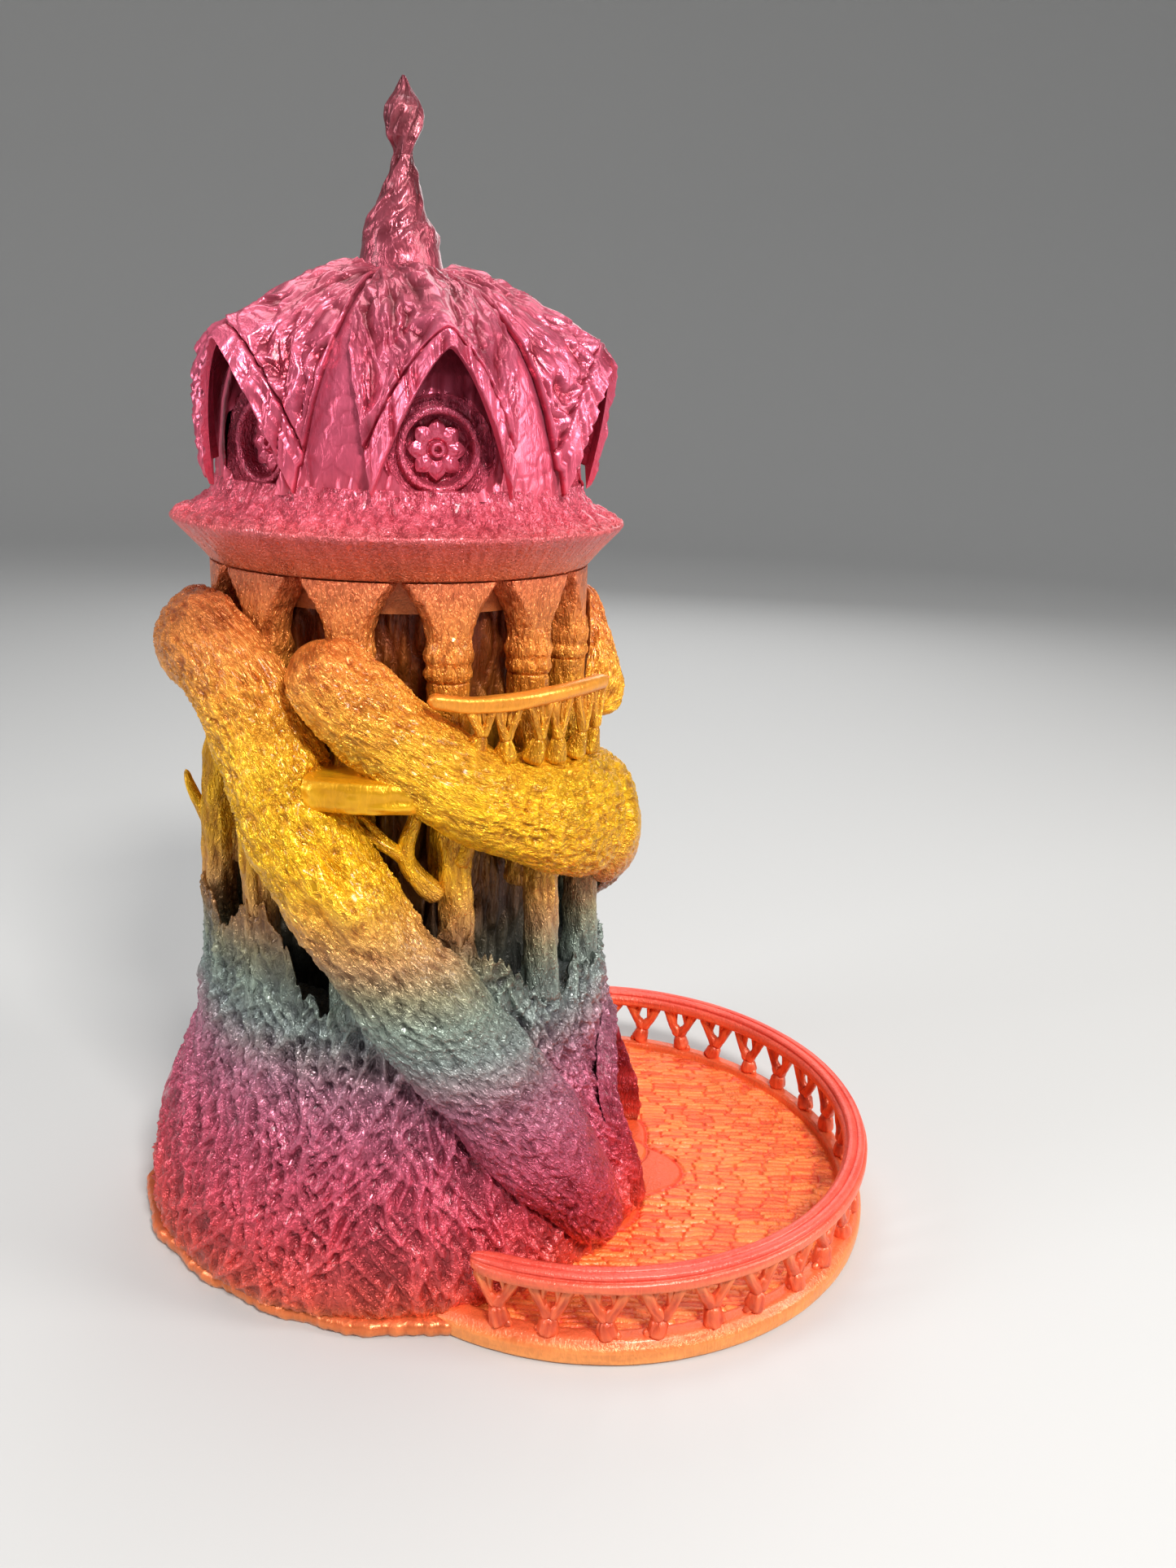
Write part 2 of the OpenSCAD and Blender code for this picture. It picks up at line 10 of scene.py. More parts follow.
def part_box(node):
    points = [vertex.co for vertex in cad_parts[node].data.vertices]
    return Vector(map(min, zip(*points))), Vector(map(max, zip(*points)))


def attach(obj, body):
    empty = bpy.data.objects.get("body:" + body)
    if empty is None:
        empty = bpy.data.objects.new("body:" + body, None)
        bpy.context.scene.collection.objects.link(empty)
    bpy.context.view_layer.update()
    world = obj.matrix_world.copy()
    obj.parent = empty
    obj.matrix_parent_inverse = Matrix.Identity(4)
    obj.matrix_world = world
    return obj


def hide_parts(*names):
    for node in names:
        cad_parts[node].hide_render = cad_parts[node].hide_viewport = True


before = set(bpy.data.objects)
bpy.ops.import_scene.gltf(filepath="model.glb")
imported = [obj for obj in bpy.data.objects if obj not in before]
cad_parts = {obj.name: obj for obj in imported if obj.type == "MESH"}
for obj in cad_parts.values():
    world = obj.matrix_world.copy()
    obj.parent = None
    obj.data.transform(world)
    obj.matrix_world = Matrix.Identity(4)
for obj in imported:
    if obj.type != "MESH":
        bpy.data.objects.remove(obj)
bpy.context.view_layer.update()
MM = 0.001
TAU = 2 * math.pi


# ---------- sizes in millimetres, from the CAD nodes' boxes ----------
def low(node, axis):
    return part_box(node)[0][axis] / MM


def high(node, axis):
    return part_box(node)[1][axis] / MM


TUBE_R = high("drop_tube", 0)
PLATE_Z = high("base_plinth", 2)
FLOOR_Z = high("tray_floor", 2)
FOOT_Z = high("root_foot", 2)
SEAM_Z = low("roof_brim", 2)
CURB_Z = high("tray_plate", 2)
TRAY_R = (high("tray_plate", 1) - low("tray_plate", 1)) / 2
TRAY_Y = (high("tray_plate", 1) + low("tray_plate", 1)) / 2
TRAY_X = high("tray_plate", 0) - TRAY_R
RAIL_Z0, RAIL_Z1 = low("tray_rail", 2), high("tray_rail", 2)
BALC_Z0 = low("balcony_rail", 2)
SPIRE_Z = low("spire", 2)
FINIAL_Z, TIP_Z = low("finial", 2), high("finial", 2)
DOOR_W, FRAME_W = 20, 24  # half widths of the doorway's opening and of its frame
SPRING_IN, SPRING_OUT = 28, 30  # heights at which their arches start


# ---------- numbers and curves ----------
def unit(x):
    return np.clip(x, 0, 1)


def step(a, b, x):
    t = unit((x - a) / (b - a))
    return t * t * (3 - 2 * t)


def bell(x, wide):
    return np.exp(-((x / wide) ** 2))


def circle(n):
    """n angles round a circle, in radians."""
    return np.linspace(0, TAU, n, endpoint=False)


def compass(n):
    """n azimuths round the tower, in degrees."""
    return np.linspace(-180, 180, n, endpoint=False)


def mesh(a, b):
    return np.meshgrid(a, b, indexing="ij")


def turn_from(middle, az):
    """Degrees from one azimuth to another, -180 to 180."""
    return (az - middle + 180) % 360 - 180


def hash01(ix, iy, iz, seed):
    """A fixed pseudo-random number from 0 to 1 for each lattice cell."""
    with np.errstate(over="ignore"):
        n = (
            ix.astype(np.uint32) * np.uint32(374761393)
            + iy.astype(np.uint32) * np.uint32(668265263)
            + iz.astype(np.uint32) * np.uint32(2246822519)
            + np.uint32((seed * 3266489917) & 0xFFFFFFFF)
        )
        n = (n ^ (n >> np.uint32(13))) * np.uint32(1274126177)
        n = (n ^ (n >> np.uint32(15))) * np.uint32(2654435761)
        n = n ^ (n >> np.uint32(16))
    return n.astype(np.float64) / 4294967296.0


def noise(x, y, z=0.0, seed=0):
    """Smooth noise from -1 to 1."""
    x, y, z = np.broadcast_arrays(x, y, z)
    ix, iy, iz = (np.floor(a).astype(np.int64) for a in (x, y, z))
    fx, fy, fz = (a - i for a, i in ((x, ix), (y, iy), (z, iz)))
    fx, fy, fz = (f * f * f * (f * (f * 6 - 15) + 10) for f in (fx, fy, fz))
    total = 0
    for dx in (0, 1):
        for dy in (0, 1):
            for dz in (0, 1):
                w = (fx if dx else 1 - fx) * (fy if dy else 1 - fy) * (fz if dz else 1 - fz)
                total = total + w * hash01(ix + dx, iy + dy, iz + dz, seed)
    return 2 * total - 1


def cells(x, y, z=None, seed=0):
    """Gap between the two nearest cell points, 0 on a border, and the nearest cell's own number."""
    flat = z is None
    z = np.zeros_like(x) if flat else z
    x, y, z = np.broadcast_arrays(x, y, z)
    ix, iy, iz = (np.floor(a).astype(np.int64) for a in (x, y, z))
    f1 = np.full(x.shape, 9.0)
    f2 = np.full(x.shape, 9.0)
    own = np.zeros(x.shape)
    for dx in (-1, 0, 1):
        for dy in (-1, 0, 1):
            for dz in (0,) if flat else (-1, 0, 1):
                jx, jy, jz = ix + dx, iy + dy, iz + dz
                px = jx + hash01(jx, jy, jz, seed)
                py = jy + hash01(jx, jy, jz, seed + 1)
                pz = 0 if flat else jz + hash01(jx, jy, jz, seed + 2)
                d = np.sqrt((px - x) ** 2 + (py - y) ** 2 + (pz - z) ** 2)
                closer = d < f1
                f2 = np.where(closer, f1, np.minimum(f2, d))
                own = np.where(closer, hash01(jx, jy, jz, seed + 3), own)
                f1 = np.where(closer, d, f1)
    return f2 - f1, own


def wrinkles(u, v, long, wide, seed=0):
    """Height from about -1 to 1 of fine crests that run along u and wander across v."""
    b = v / wide + 0.9 * noise(u / (1.8 * long), v / (4 * wide), seed=seed + 6)
    b = b + 0.35 * noise(u / (0.5 * long), v / (1.5 * wide), seed=seed + 7)
    n1 = noise(u / long, b, seed=seed)
    n2 = noise(u / (0.45 * long), b * 1.7 + 9, seed=seed + 1)
    return (1 - 3.2 * np.abs(n1)) * 0.75 + 0.35 * n2


def at(r, az, z):
    """Points at a radius, an azimuth in degrees from the front (-Y) towards the tray (+X), and a height."""
    a = np.radians(az)
    return np.stack(np.broadcast_arrays(r * np.sin(a), -r * np.cos(a), z), axis=-1)


def on_tray(r, deg, z):
    """The same round the tray's middle, with degrees from +X."""
    a = np.radians(deg)
    return np.stack(np.broadcast_arrays(TRAY_X + r * np.cos(a), TRAY_Y + r * np.sin(a), z), axis=-1)


def between(a, b, c, d, t):
    """A smooth curve from b to c for t from 0 to 1, with a before them and d after."""
    return 0.5 * (2 * b + (c - a) * t + (2 * a - 5 * b + 4 * c - d) * t**2 + (3 * b - a - 3 * c + d) * t**3)


def smooth_curve(points, steps):
    """A smooth curve through points, with steps rows from each to the next."""
    p = np.array(points, float)
    p = np.vstack([2 * p[0] - p[1], p, 2 * p[-1] - p[-2]])
    out = []
    for i in range(1, len(p) - 2):
        t = np.linspace(0, 1, steps, endpoint=i == len(p) - 3)[:, None]
        out.append(between(*p[i - 1 : i + 3], t))
    return np.vstack(out)


def distance_along(p):
    return np.concatenate([[0], np.cumsum(np.linalg.norm(np.diff(p, axis=0), axis=1))])


def resample(points, n, s=None):
    """n rows evenly spaced along s, which is the distance along the points if it isn't given."""
    q = np.array(points, float)
    s = distance_along(q[:, :3]) if s is None else s
    t = np.linspace(0, s[-1], n)
    return np.stack([np.interp(t, s, q[:, k]) for k in range(q.shape[1])], axis=1)


def round_end(d, size, least):
    """Scale of a radius at a distance d from a rounded end."""
    return np.sqrt(np.clip(1 - (1 - unit(d / size)) ** 2, least, 1))


# ---------- meshes ----------
UPRIGHT_GRAIN = np.array([1, 1, 0.35])
UP = np.array([0, 0, 1.0])


class Skin:
    """Collects grids of points into one mesh.

    The painted shading is painted shade: 0 darkens a groove fully and 1 leaves a ridge unshaded. flow is each
    point's place in the bark's fine grain, in millimetres squeezed along the grain.
    """

    def __init__(self):
        self.points, self.quads, self.tris, self.cav, self.flow, self.count = [], [], [], [], [], 0

    def grid(self, p, cav=None, wrap_u=False, wrap_v=False, keep=None, cap=False, flow=None):
        """Adds a grid of points: wrap closes it, cap closes its first and last row, keep picks its faces."""
        nu, nv = p.shape[:2]
        index = np.arange(nu * nv).reshape(nu, nv) + self.count
        a, b = mesh(np.arange(nu if wrap_u else nu - 1), np.arange(nv if wrap_v else nv - 1))
        a2, b2 = (a + 1) % nu, (b + 1) % nv
        quads = np.stack([index[a, b], index[a2, b], index[a2, b2], index[a, b2]], axis=-1)
        if keep is not None:
            quads = quads[keep[a, b] | keep[a2, b] | keep[a2, b2] | keep[a, b2]]
        flow = p * UPRIGHT_GRAIN if flow is None else flow
        self.quads.append(quads.reshape(-1, 4))
        self.points.append(p.reshape(-1, 3))
        self.cav.append(np.broadcast_to(cav, (nu, nv)).ravel())
        self.flow.append(flow.reshape(-1, 3))
        self.count += nu * nv
        if cap:
            for row, last in ((0, False), (nu - 1, True)):
                self.points.append(p[row].mean(axis=0)[None])
                self.cav.append(np.array([0.6]))
                self.flow.append(flow[row].mean(axis=0)[None])
                ring, nxt = index[row], np.roll(index[row], -1)
                c = np.full(nv, self.count)
                self.tris.append(np.stack([c, nxt, ring] if last else [c, ring, nxt], axis=-1))
                self.count += 1
        return self

    def tube(self, path, radii, seg, rough, grain, seed, blunt=True):
        """A branch along a path, with bark grooves along it."""
        radii = radii.copy()
        s = distance_along(path)
        if blunt:
            for d in (s, s[-1] - s):
                radii *= round_end(d, radii.mean(), 0.02)
        tan = np.gradient(path, axis=0)
        tan /= np.linalg.norm(tan, axis=1)[:, None]
        upright = abs(tan[:, 2]).mean() > 0.8
        side = np.cross(tan, np.array([path[0][0], path[0][1], 0.01]) if upright else UP)
        side /= np.linalg.norm(side, axis=1)[:, None]
        nor = np.cross(side, tan)
        th = circle(seg)
        c, d = np.cos(th)[None], np.sin(th)[None]
        g = noise(c * grain + seed, d * grain, s[:, None] / 5.0, seed)
        g = g + 0.5 * noise(c * grain * 2, d * grain * 2 + seed, s[:, None] / 2.0, seed + 1)
        r = radii[:, None] * (1 + rough * g)
        p = path[:, None] + r[..., None] * (c[..., None] * side[:, None] + d[..., None] * nor[:, None])
        round_it = radii[:, None] * c, radii[:, None] * d
        flow = np.stack(np.broadcast_arrays(0.35 * s[:, None] + seed, *round_it), -1)
        # Painted shade where the bark sinks in, lighter where it swells
        return self.grid(p, unit(0.6 + 0.5 * g), wrap_v=True, cap=True, flow=flow)

    def make(self, name, body, nodes, slot, material, flip=False):
        """Makes the object, rides it on its body and lets it stand in for its CAD nodes."""
        co = (np.vstack(self.points) * MM).astype(np.float32)
        quads = np.vstack(self.quads)
        tris = np.vstack(self.tris) if self.tris else np.zeros((0, 3), int)
        if flip:
            quads, tris = quads[:, ::-1], tris[:, ::-1]
        me = bpy.data.meshes.new(name)
        me.vertices.add(len(co))
        me.vertices.foreach_set("co", co.ravel())
        loops = np.concatenate([quads.ravel(), tris.ravel()]).astype(np.int32)
        me.loops.add(len(loops))
        me.loops.foreach_set("vertex_index", loops)
        me.polygons.add(len(quads) + len(tris))
        starts = np.concatenate([np.arange(len(quads)) * 4, len(quads) * 4 + np.arange(len(tris)) * 3])
        me.polygons.foreach_set("loop_start", starts.astype(np.int32))
        me.update(calc_edges=True)
        me.validate()
        # Each point's painted shade is stored here so the materials can darken grooves with it
        cav = me.attributes.new("cav", "FLOAT", "POINT")
        cav.data.foreach_set("value", np.concatenate(self.cav).astype(np.float32))
        flow = me.attributes.new("flow", "FLOAT_VECTOR", "POINT")
        flow.data.foreach_set("vector", np.vstack(self.flow).astype(np.float32).ravel())
        drop_loose(me)
        me.shade_smooth()
        obj = bpy.data.objects.new(name, me)
        bpy.context.scene.collection.objects.link(obj)
        me.materials.append(material)
        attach(obj, body)
        if nodes:
            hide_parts(*nodes)


def drop_loose(me):
    """Removes points that no face uses."""
    bm = bmesh.new()
    bm.from_mesh(me)
    bmesh.ops.delete(bm, geom=[v for v in bm.verts if not v.link_faces], context="VERTS")
    bm.to_mesh(me)
    bm.free()


def revolve(profile, az, wobble, rows):
    """Turns a [radius, height] profile through azimuths. wobble gives what to add to both, and the painted
    shade.
    """
    line = resample(profile, rows)
    aa, r = mesh(az, line[:, 0])
    z = np.broadcast_to(line[:, 1], r.shape)
    p = at(r, aa, z)
    dr, dz, cav = wobble(p[..., 0], p[..., 1], z, aa, r)
    return at(r + dr, aa, z + dz), cav


def branch(skin, rows, seed, seg=18, rough=0.12, grain=2.2, place=at):
    """A branch through rows of [distance, azimuth, height, radius]."""
    q = np.array(rows, float)
    q = np.column_stack([place(q[:, 0], q[:, 1], q[:, 2]), q[:, 3]])
    q = resample(smooth_curve(q, 24), 9 * len(rows))
    skin.tube(q[:, :3], q[:, 3], seg, rough, grain, seed)


# ---------- materials ----------
def linear(c):
    """Linear light from an 8-bit sRGB channel."""
    c = c / 255
    return c / 12.92 if c <= 0.04045 else ((c + 0.055) / 1.055) ** 2.4


# Colour of the rainbow filament at each height in millimetres
TOWER_RAMP = [
    (0, (247, 158, 88)), (3, (244, 130, 74)), (7, (232, 92, 74)), (14, (220, 80, 82)),
    (24, (206, 74, 92)), (36, (196, 84, 110)), (45, (188, 98, 124)), (53, (178, 116, 136)),
    (60, (158, 138, 142)), (66, (142, 152, 148)), (75, (146, 160, 146)), (82, (158, 152, 120)),
    (89, (196, 150, 100)), (97, (236, 172, 76)), (104, (246, 184, 34)), (112, (250, 188, 14)),
    (122, (252, 190, 20)), (132, (252, 186, 36)), (141, (250, 172, 52)), (150, (248, 156, 64)),
    (160, (238, 138, 70)), (168, (238, 126, 82)), (174, (240, 118, 104)), (180, (236, 104, 122)),
    (190, (228, 98, 126)), (205, (222, 100, 130)), (215, (214, 96, 124)), (226, (198, 88, 110)),
    (238, (182, 82, 100)), (252, (166, 76, 90)), (264, (150, 70, 82)), (270, (142, 66, 78)),
]
TRAY_RAMP = [
    (0, (253, 172, 96)), (3.4, (253, 158, 84)), (5, (252, 122, 70)), (8, (238, 104, 62)),
    (14, (240, 108, 64)), (18, (250, 140, 82)), (20.5, (252, 118, 84)), (22, (254, 104, 84)),
    (25, (250, 92, 76)),
]
PLANK_RAMP = [(0, (252, 130, 60)), (8, (252, 136, 64))]
MOTTLE_MM = 9
BUMP_MM = 0.28
CREST_WIDE = 0.13  # how far from the middle of the fine noise a crest reaches


def filament(name, ramp, metallic=0.55, rough=0.3, tint=(1, 1, 1), cavity=True, grain_mm=0.9, bump=0.5,
             gamma=1.45, shade=(0.55, 0.5, 0.5), speck_and_crest_light=0.10):
    """Silky filament: its colour runs with height, with painted shade in grooves and painted highlights on
    ridges.
    """
    mat = bpy.data.materials.new(name)
    mat.use_nodes = True
    nt = mat.node_tree
    nt.nodes.clear()

    def node(kind, inputs, **values):
        """A new node, with each input set to a constant or linked to another node's output."""
        n = nt.nodes.new("ShaderNode" + kind)
        for key, value in values.items():
            setattr(n, key, value)
        for key, value in inputs.items():
            if isinstance(value, bpy.types.NodeSocket):
                nt.links.new(value, n.inputs[key])
            else:
                n.inputs[key].default_value = value
        return n

    def multiply(a, b):
        mix = node("Mix", {"Factor": 1, "A": a, "B": b}, data_type="RGBA", blend_type="MULTIPLY")
        return mix.outputs["Result"]

    def spread(value, start, end, first, last):
        """Runs from first to last while value runs from start to end."""
        limits = {"From Min": start, "From Max": end, "To Min": first, "To Max": last}
        return node("MapRange", {"Value": value, **limits}).outputs["Result"]

    coord = node("TexCoord", {}).outputs["Object"]
    height = node("SeparateXYZ", {0: coord}).outputs["Z"]
    top = ramp[-1][0]
    colours = node("ValToRGB", {"Fac": spread(height, 0, top * MM, 0, 1)})
    els = colours.color_ramp.elements
    while len(els) < len(ramp):
        els.new(0.5)
    # All the places come before the first colour, because a new place can change the elements' order
    for el, (z, rgb) in zip(els, ramp):
        el.position = z / top
    for el, (z, rgb) in zip(els, ramp):
        el.color = (*(linear(c) * t for c, t in zip(rgb, tint)), 1)

    soft = {"Vector": coord, "Scale": 1 / (MOTTLE_MM * MM), "Detail": 6, "Roughness": 0.65}
    mottle = node("TexNoise", soft).outputs["Fac"]
    colour = multiply(colours.outputs["Color"], spread(mottle, 0.3, 0.7, 1 - speck_and_crest_light, 1 + speck_and_crest_light))
    place, scale = coord, 1 / (grain_mm * MM)
    if cavity:
        # Painted shade: grooves get a deeper, darker copy of the colour, mixed in where the painted shading
        # is low
        painted_shade_colour = node("Gamma", {"Color": colour, "Gamma": gamma}).outputs["Color"]
        ridge = node("Attribute", {}, attribute_name="cav").outputs["Fac"]
        groove = multiply(painted_shade_colour, (*shade, 1))
        mixed = node("Mix", {"Factor": ridge, "A": groove, "B": colour}, data_type="RGBA")
        colour = mixed.outputs["Result"]
        place, scale = node("Attribute", {}, attribute_name="flow").outputs["Vector"], 1 / grain_mm
    # Fine crests run where the fine noise crosses its middle
    fine = node("TexNoise", {"Vector": place, "Scale": scale, "Detail": 3, "Distortion": 0.5})
    offset = node("Math", {0: fine.outputs["Fac"], 1: 0.5}, operation="SUBTRACT")
    away = node("Math", {0: offset.outputs["Value"]}, operation="ABSOLUTE")
    crest = spread(away.outputs["Value"], 0, CREST_WIDE, 1, 0)
    bumped = node("Bump", {"Strength": bump, "Distance": BUMP_MM * MM, "Height": crest})
    # Painted highlight and shade on the fine grain: the colour is paler on the fine crests and darker between
    # them
    bsdf = node("BsdfPrincipled", {
        "Base Color": multiply(colour, spread(crest, 0, 1, 1 - speck_and_crest_light, 1 + speck_and_crest_light)),
        "Metallic": metallic,
        "Roughness": spread(mottle, 0.3, 0.7, rough - 0.08, rough + 0.12),
        "Normal": bumped.outputs["Normal"],
        "Coat Weight": 0.18,
        "Coat Roughness": 0.16,
    })
    node("OutputMaterial", {"Surface": bsdf.outputs["BSDF"]})
    return mat


BARK = filament("silk_bark", TOWER_RAMP, bump=1, gamma=1.35, shade=(0.48, 0.42, 0.46))
FOOT_BARK = filament("silk_foot", TOWER_RAMP, bump=0.8, gamma=1.4, shade=(0.26, 0.22, 0.28))
LEAF = filament("silk_leaf", TOWER_RAMP, grain_mm=1.7, bump=0.35, gamma=1.7, shade=(0.42, 0.3, 0.36))
SMOOTH = filament("silk_smooth", TOWER_RAMP, rough=0.34, grain_mm=1.6, bump=0.2, speck_and_crest_light=0.05)
# Painted shade: the core behind the columns and the parts inside the tower are darkened by their tints
DARK = filament("silk_shadowed", TOWER_RAMP, tint=(0.42, 0.36, 0.36), rough=0.42)
SHADED_INSIDE = filament("silk_inside_shaded", TOWER_RAMP, tint=(0.6, 0.55, 0.55), cavity=False, rough=0.45, bump=0.25)
TRAY = filament("silk_tray", TRAY_RAMP, metallic=0.25, rough=0.36, grain_mm=1.4, bump=0.3, speck_and_crest_light=0.06)
# Painted shade in the planks' gaps: their colour is a darker red
PLANKS = filament("silk_planks", PLANK_RAMP, metallic=0.25, rough=0.36, bump=0.35, gamma=1,
                  shade=(0.80, 0.20, 0.34), speck_and_crest_light=0.08)

# ---------- camera, floor and lights ----------
scene = bpy.context.scene
cam = bpy.data.objects.new("camera", bpy.data.cameras.new("camera"))
scene.collection.objects.link(cam)
scene.camera = cam
cam.data.lens = 28.92
cam.data.clip_start, cam.data.clip_end = 0.01, 20
CAMERA_AT = (0.04615, -0.302, 0.20587)
CAMERA_TILT, CAMERA_ROLL = math.radians(72.86), math.radians(2.18)
tilt_and_roll = Matrix.Rotation(CAMERA_TILT, 4, "X") @ Matrix.Rotation(CAMERA_ROLL, 4, "Z")
cam.matrix_world = Matrix.Translation(CAMERA_AT) @ tilt_and_roll


def softbox(name, where, target, size, power, colour=(1, 1, 1)):
    light = bpy.data.lights.new(name, "AREA")
    light.shape = "RECTANGLE"
    light.size, light.size_y = size
    light.energy = power
    light.color = colour
    o = bpy.data.objects.new(name, light)
    scene.collection.objects.link(o)
    o.location = where
    o.rotation_mode = "QUATERNION"
    o.rotation_quaternion = (Vector(target) - o.location).normalized().to_track_quat("-Z", "Y")


softbox("key", (0.35, -0.7, 0.85), (0, 0, 0.12), (0.22, 0.16), 12, (1, 0.98, 0.95))
softbox("left", (-0.8, -0.35, 0.45), (0, 0, 0.12), (0.25, 0.5), 4.0, (0.96, 0.98, 1))
softbox("right", (0.85, -0.15, 0.5), (0, 0, 0.12), (0.25, 0.5), 5.0, (1, 0.97, 0.94))
softbox("top", (0, 0.25, 1.1), (0, 0, 0.1), (0.6, 0.4), 3.4)
softbox("back", (0.1, 0.9, 0.5), (0, 0, 0.12), (0.6, 0.5), 2.0)

world = bpy.data.worlds.new("studio")
world.use_nodes = True
world.node_tree.nodes["Background"].inputs["Color"].default_value = (0.85, 0.87, 0.9, 1)
world.node_tree.nodes["Background"].inputs["Strength"].default_value = 0.5
scene.world = world
scene.view_settings.view_transform = "Standard"

# A seamless sweep: a flat floor that curves up into a wall all round, outside the lights
SWEEP_FLAT, SWEEP_BEND, SWEEP_TOP, SWEEP_SIDES = 1.5, 1.0, 3.2, 96
bends = [math.radians(6 * i) for i in range(16)]
sweep = [(0.05, 0)] + [(SWEEP_FLAT + SWEEP_BEND * math.sin(b), SWEEP_BEND * (1 - math.cos(b))) for b in bends]
sweep.append((SWEEP_FLAT + SWEEP_BEND, SWEEP_TOP))
verts = [(r * math.cos(t), r * math.sin(t), z) for r, z in sweep for t in circle(SWEEP_SIDES)]
rings = np.arange(len(verts)).reshape(-1, SWEEP_SIDES)
faces = [rings[0].tolist()]
for below, above in zip(rings, rings[1:]):
    faces += np.stack([below, np.roll(below, -1), np.roll(above, -1), above], axis=1).tolist()
floor_mesh = bpy.data.meshes.new("floor")
floor_mesh.from_pydata(verts, [], faces)
floor_mesh.shade_smooth()
floor = bpy.data.objects.new("floor", floor_mesh)
scene.collection.objects.link(floor)
floor_mat = bpy.data.materials.new("pale_floor")
floor_mat.use_nodes = True
fb = floor_mat.node_tree.nodes["Principled BSDF"]
fb.inputs["Base Color"].default_value = (0.5, 0.5, 0.495, 1)
fb.inputs["Roughness"].default_value = 0.7
floor_mesh.materials.append(floor_mat)

# ---------- roots ----------
# [height, radius] of the surface that the roots lie on, and the same with its balcony step smoothed away
SEAT = np.array([
    [4, 64.9], [9, 65.6], [16, 64.7], [26, 61.5], [36, 57.6], [50, 53.3], [68, 50.9], [94, 50.9],
    [99, 50], [121, 50], [124, 44.6], [143, 44.8], [147, 45.6], [170, 45.6],
])
SMOOTH_SEAT = np.array([
    [4, 64.9], [9, 65.6], [16, 64.7], [26, 61.5], [36, 57.6], [50, 53.3], [68, 50.9], [92, 50.9],
    [106, 50], [116, 48.6], [124, 47], [134, 45.4], [144, 45], [170, 45.6],
])
# Rows of [azimuth, height, half width, thickness]
ROOTS = {
    "root_lower": [
        [56, 12, 5, 6], [53, 16, 8, 7], [46, 32, 13.5, 10], [31, 53, 14.5, 11.5], [17, 70, 14, 11.5],
        [7, 82, 13, 11.5], [-2, 94, 12.5, 11.5], [-12, 108, 12.3, 11.5], [-20, 119, 12.2, 12],
        [-30, 132.5, 12, 12], [-38, 143, 12, 12.2], [-50, 149.5, 12, 12.2], [-70, 149, 12, 12.2],
        [-92, 146, 11.5, 12], [-118, 148, 10.5, 10.5], [-142, 153, 8, 8], [-160, 156, 4, 4.5],
    ],
    "root_upper": [
        [-18.5, 153.5, 4, 5], [-13, 149, 9, 10], [-2, 141, 10.5, 12.5], [12, 131.5, 10.7, 13.5],
        [24, 124.5, 11, 13.5], [36, 119, 12, 12.5], [48, 116, 14.5, 11.5], [62, 113.5, 16, 10.5],
        [76, 110, 16.5, 10], [90, 104, 16, 9.5], [110, 92, 13.5, 9.5], [132, 75, 12, 9.5],
        [154, 57, 11.5, 9], [174, 38, 11, 7.5], [190, 22, 9, 6], [197, 16, 6, 4.5],
    ],
    "root_side": [
        [112, 160, 5.5, 3], [108, 154, 8, 5], [102, 146, 8.5, 7.5], [96, 138, 8.5, 9.5], [90.5, 130.5, 5, 8],
    ],
}
# Knots and dents: share of the length, millimetres across, size along, size across, height
KNOTS = {
    "root_lower": [(0.395, 3.5, 5.5, 3.0, 2.3), (0.43, 6.5, 6.0, 1.6, -2.4), (0.405, -1.5, 7.0, 1.8, -1.4)],
    "root_upper": [(0.40, 2.0, 3.0, 12.0, 1.2), (0.385, 2.0, 1.6, 12.0, -1.2)],
    "root_side": [],
}
ROOT_STEP = 0.46
ROOT_UNDER = 4  # rows on a root's hidden flat side


def seat_r(z):
    return np.interp(z, SEAT[:, 0], SEAT[:, 1])


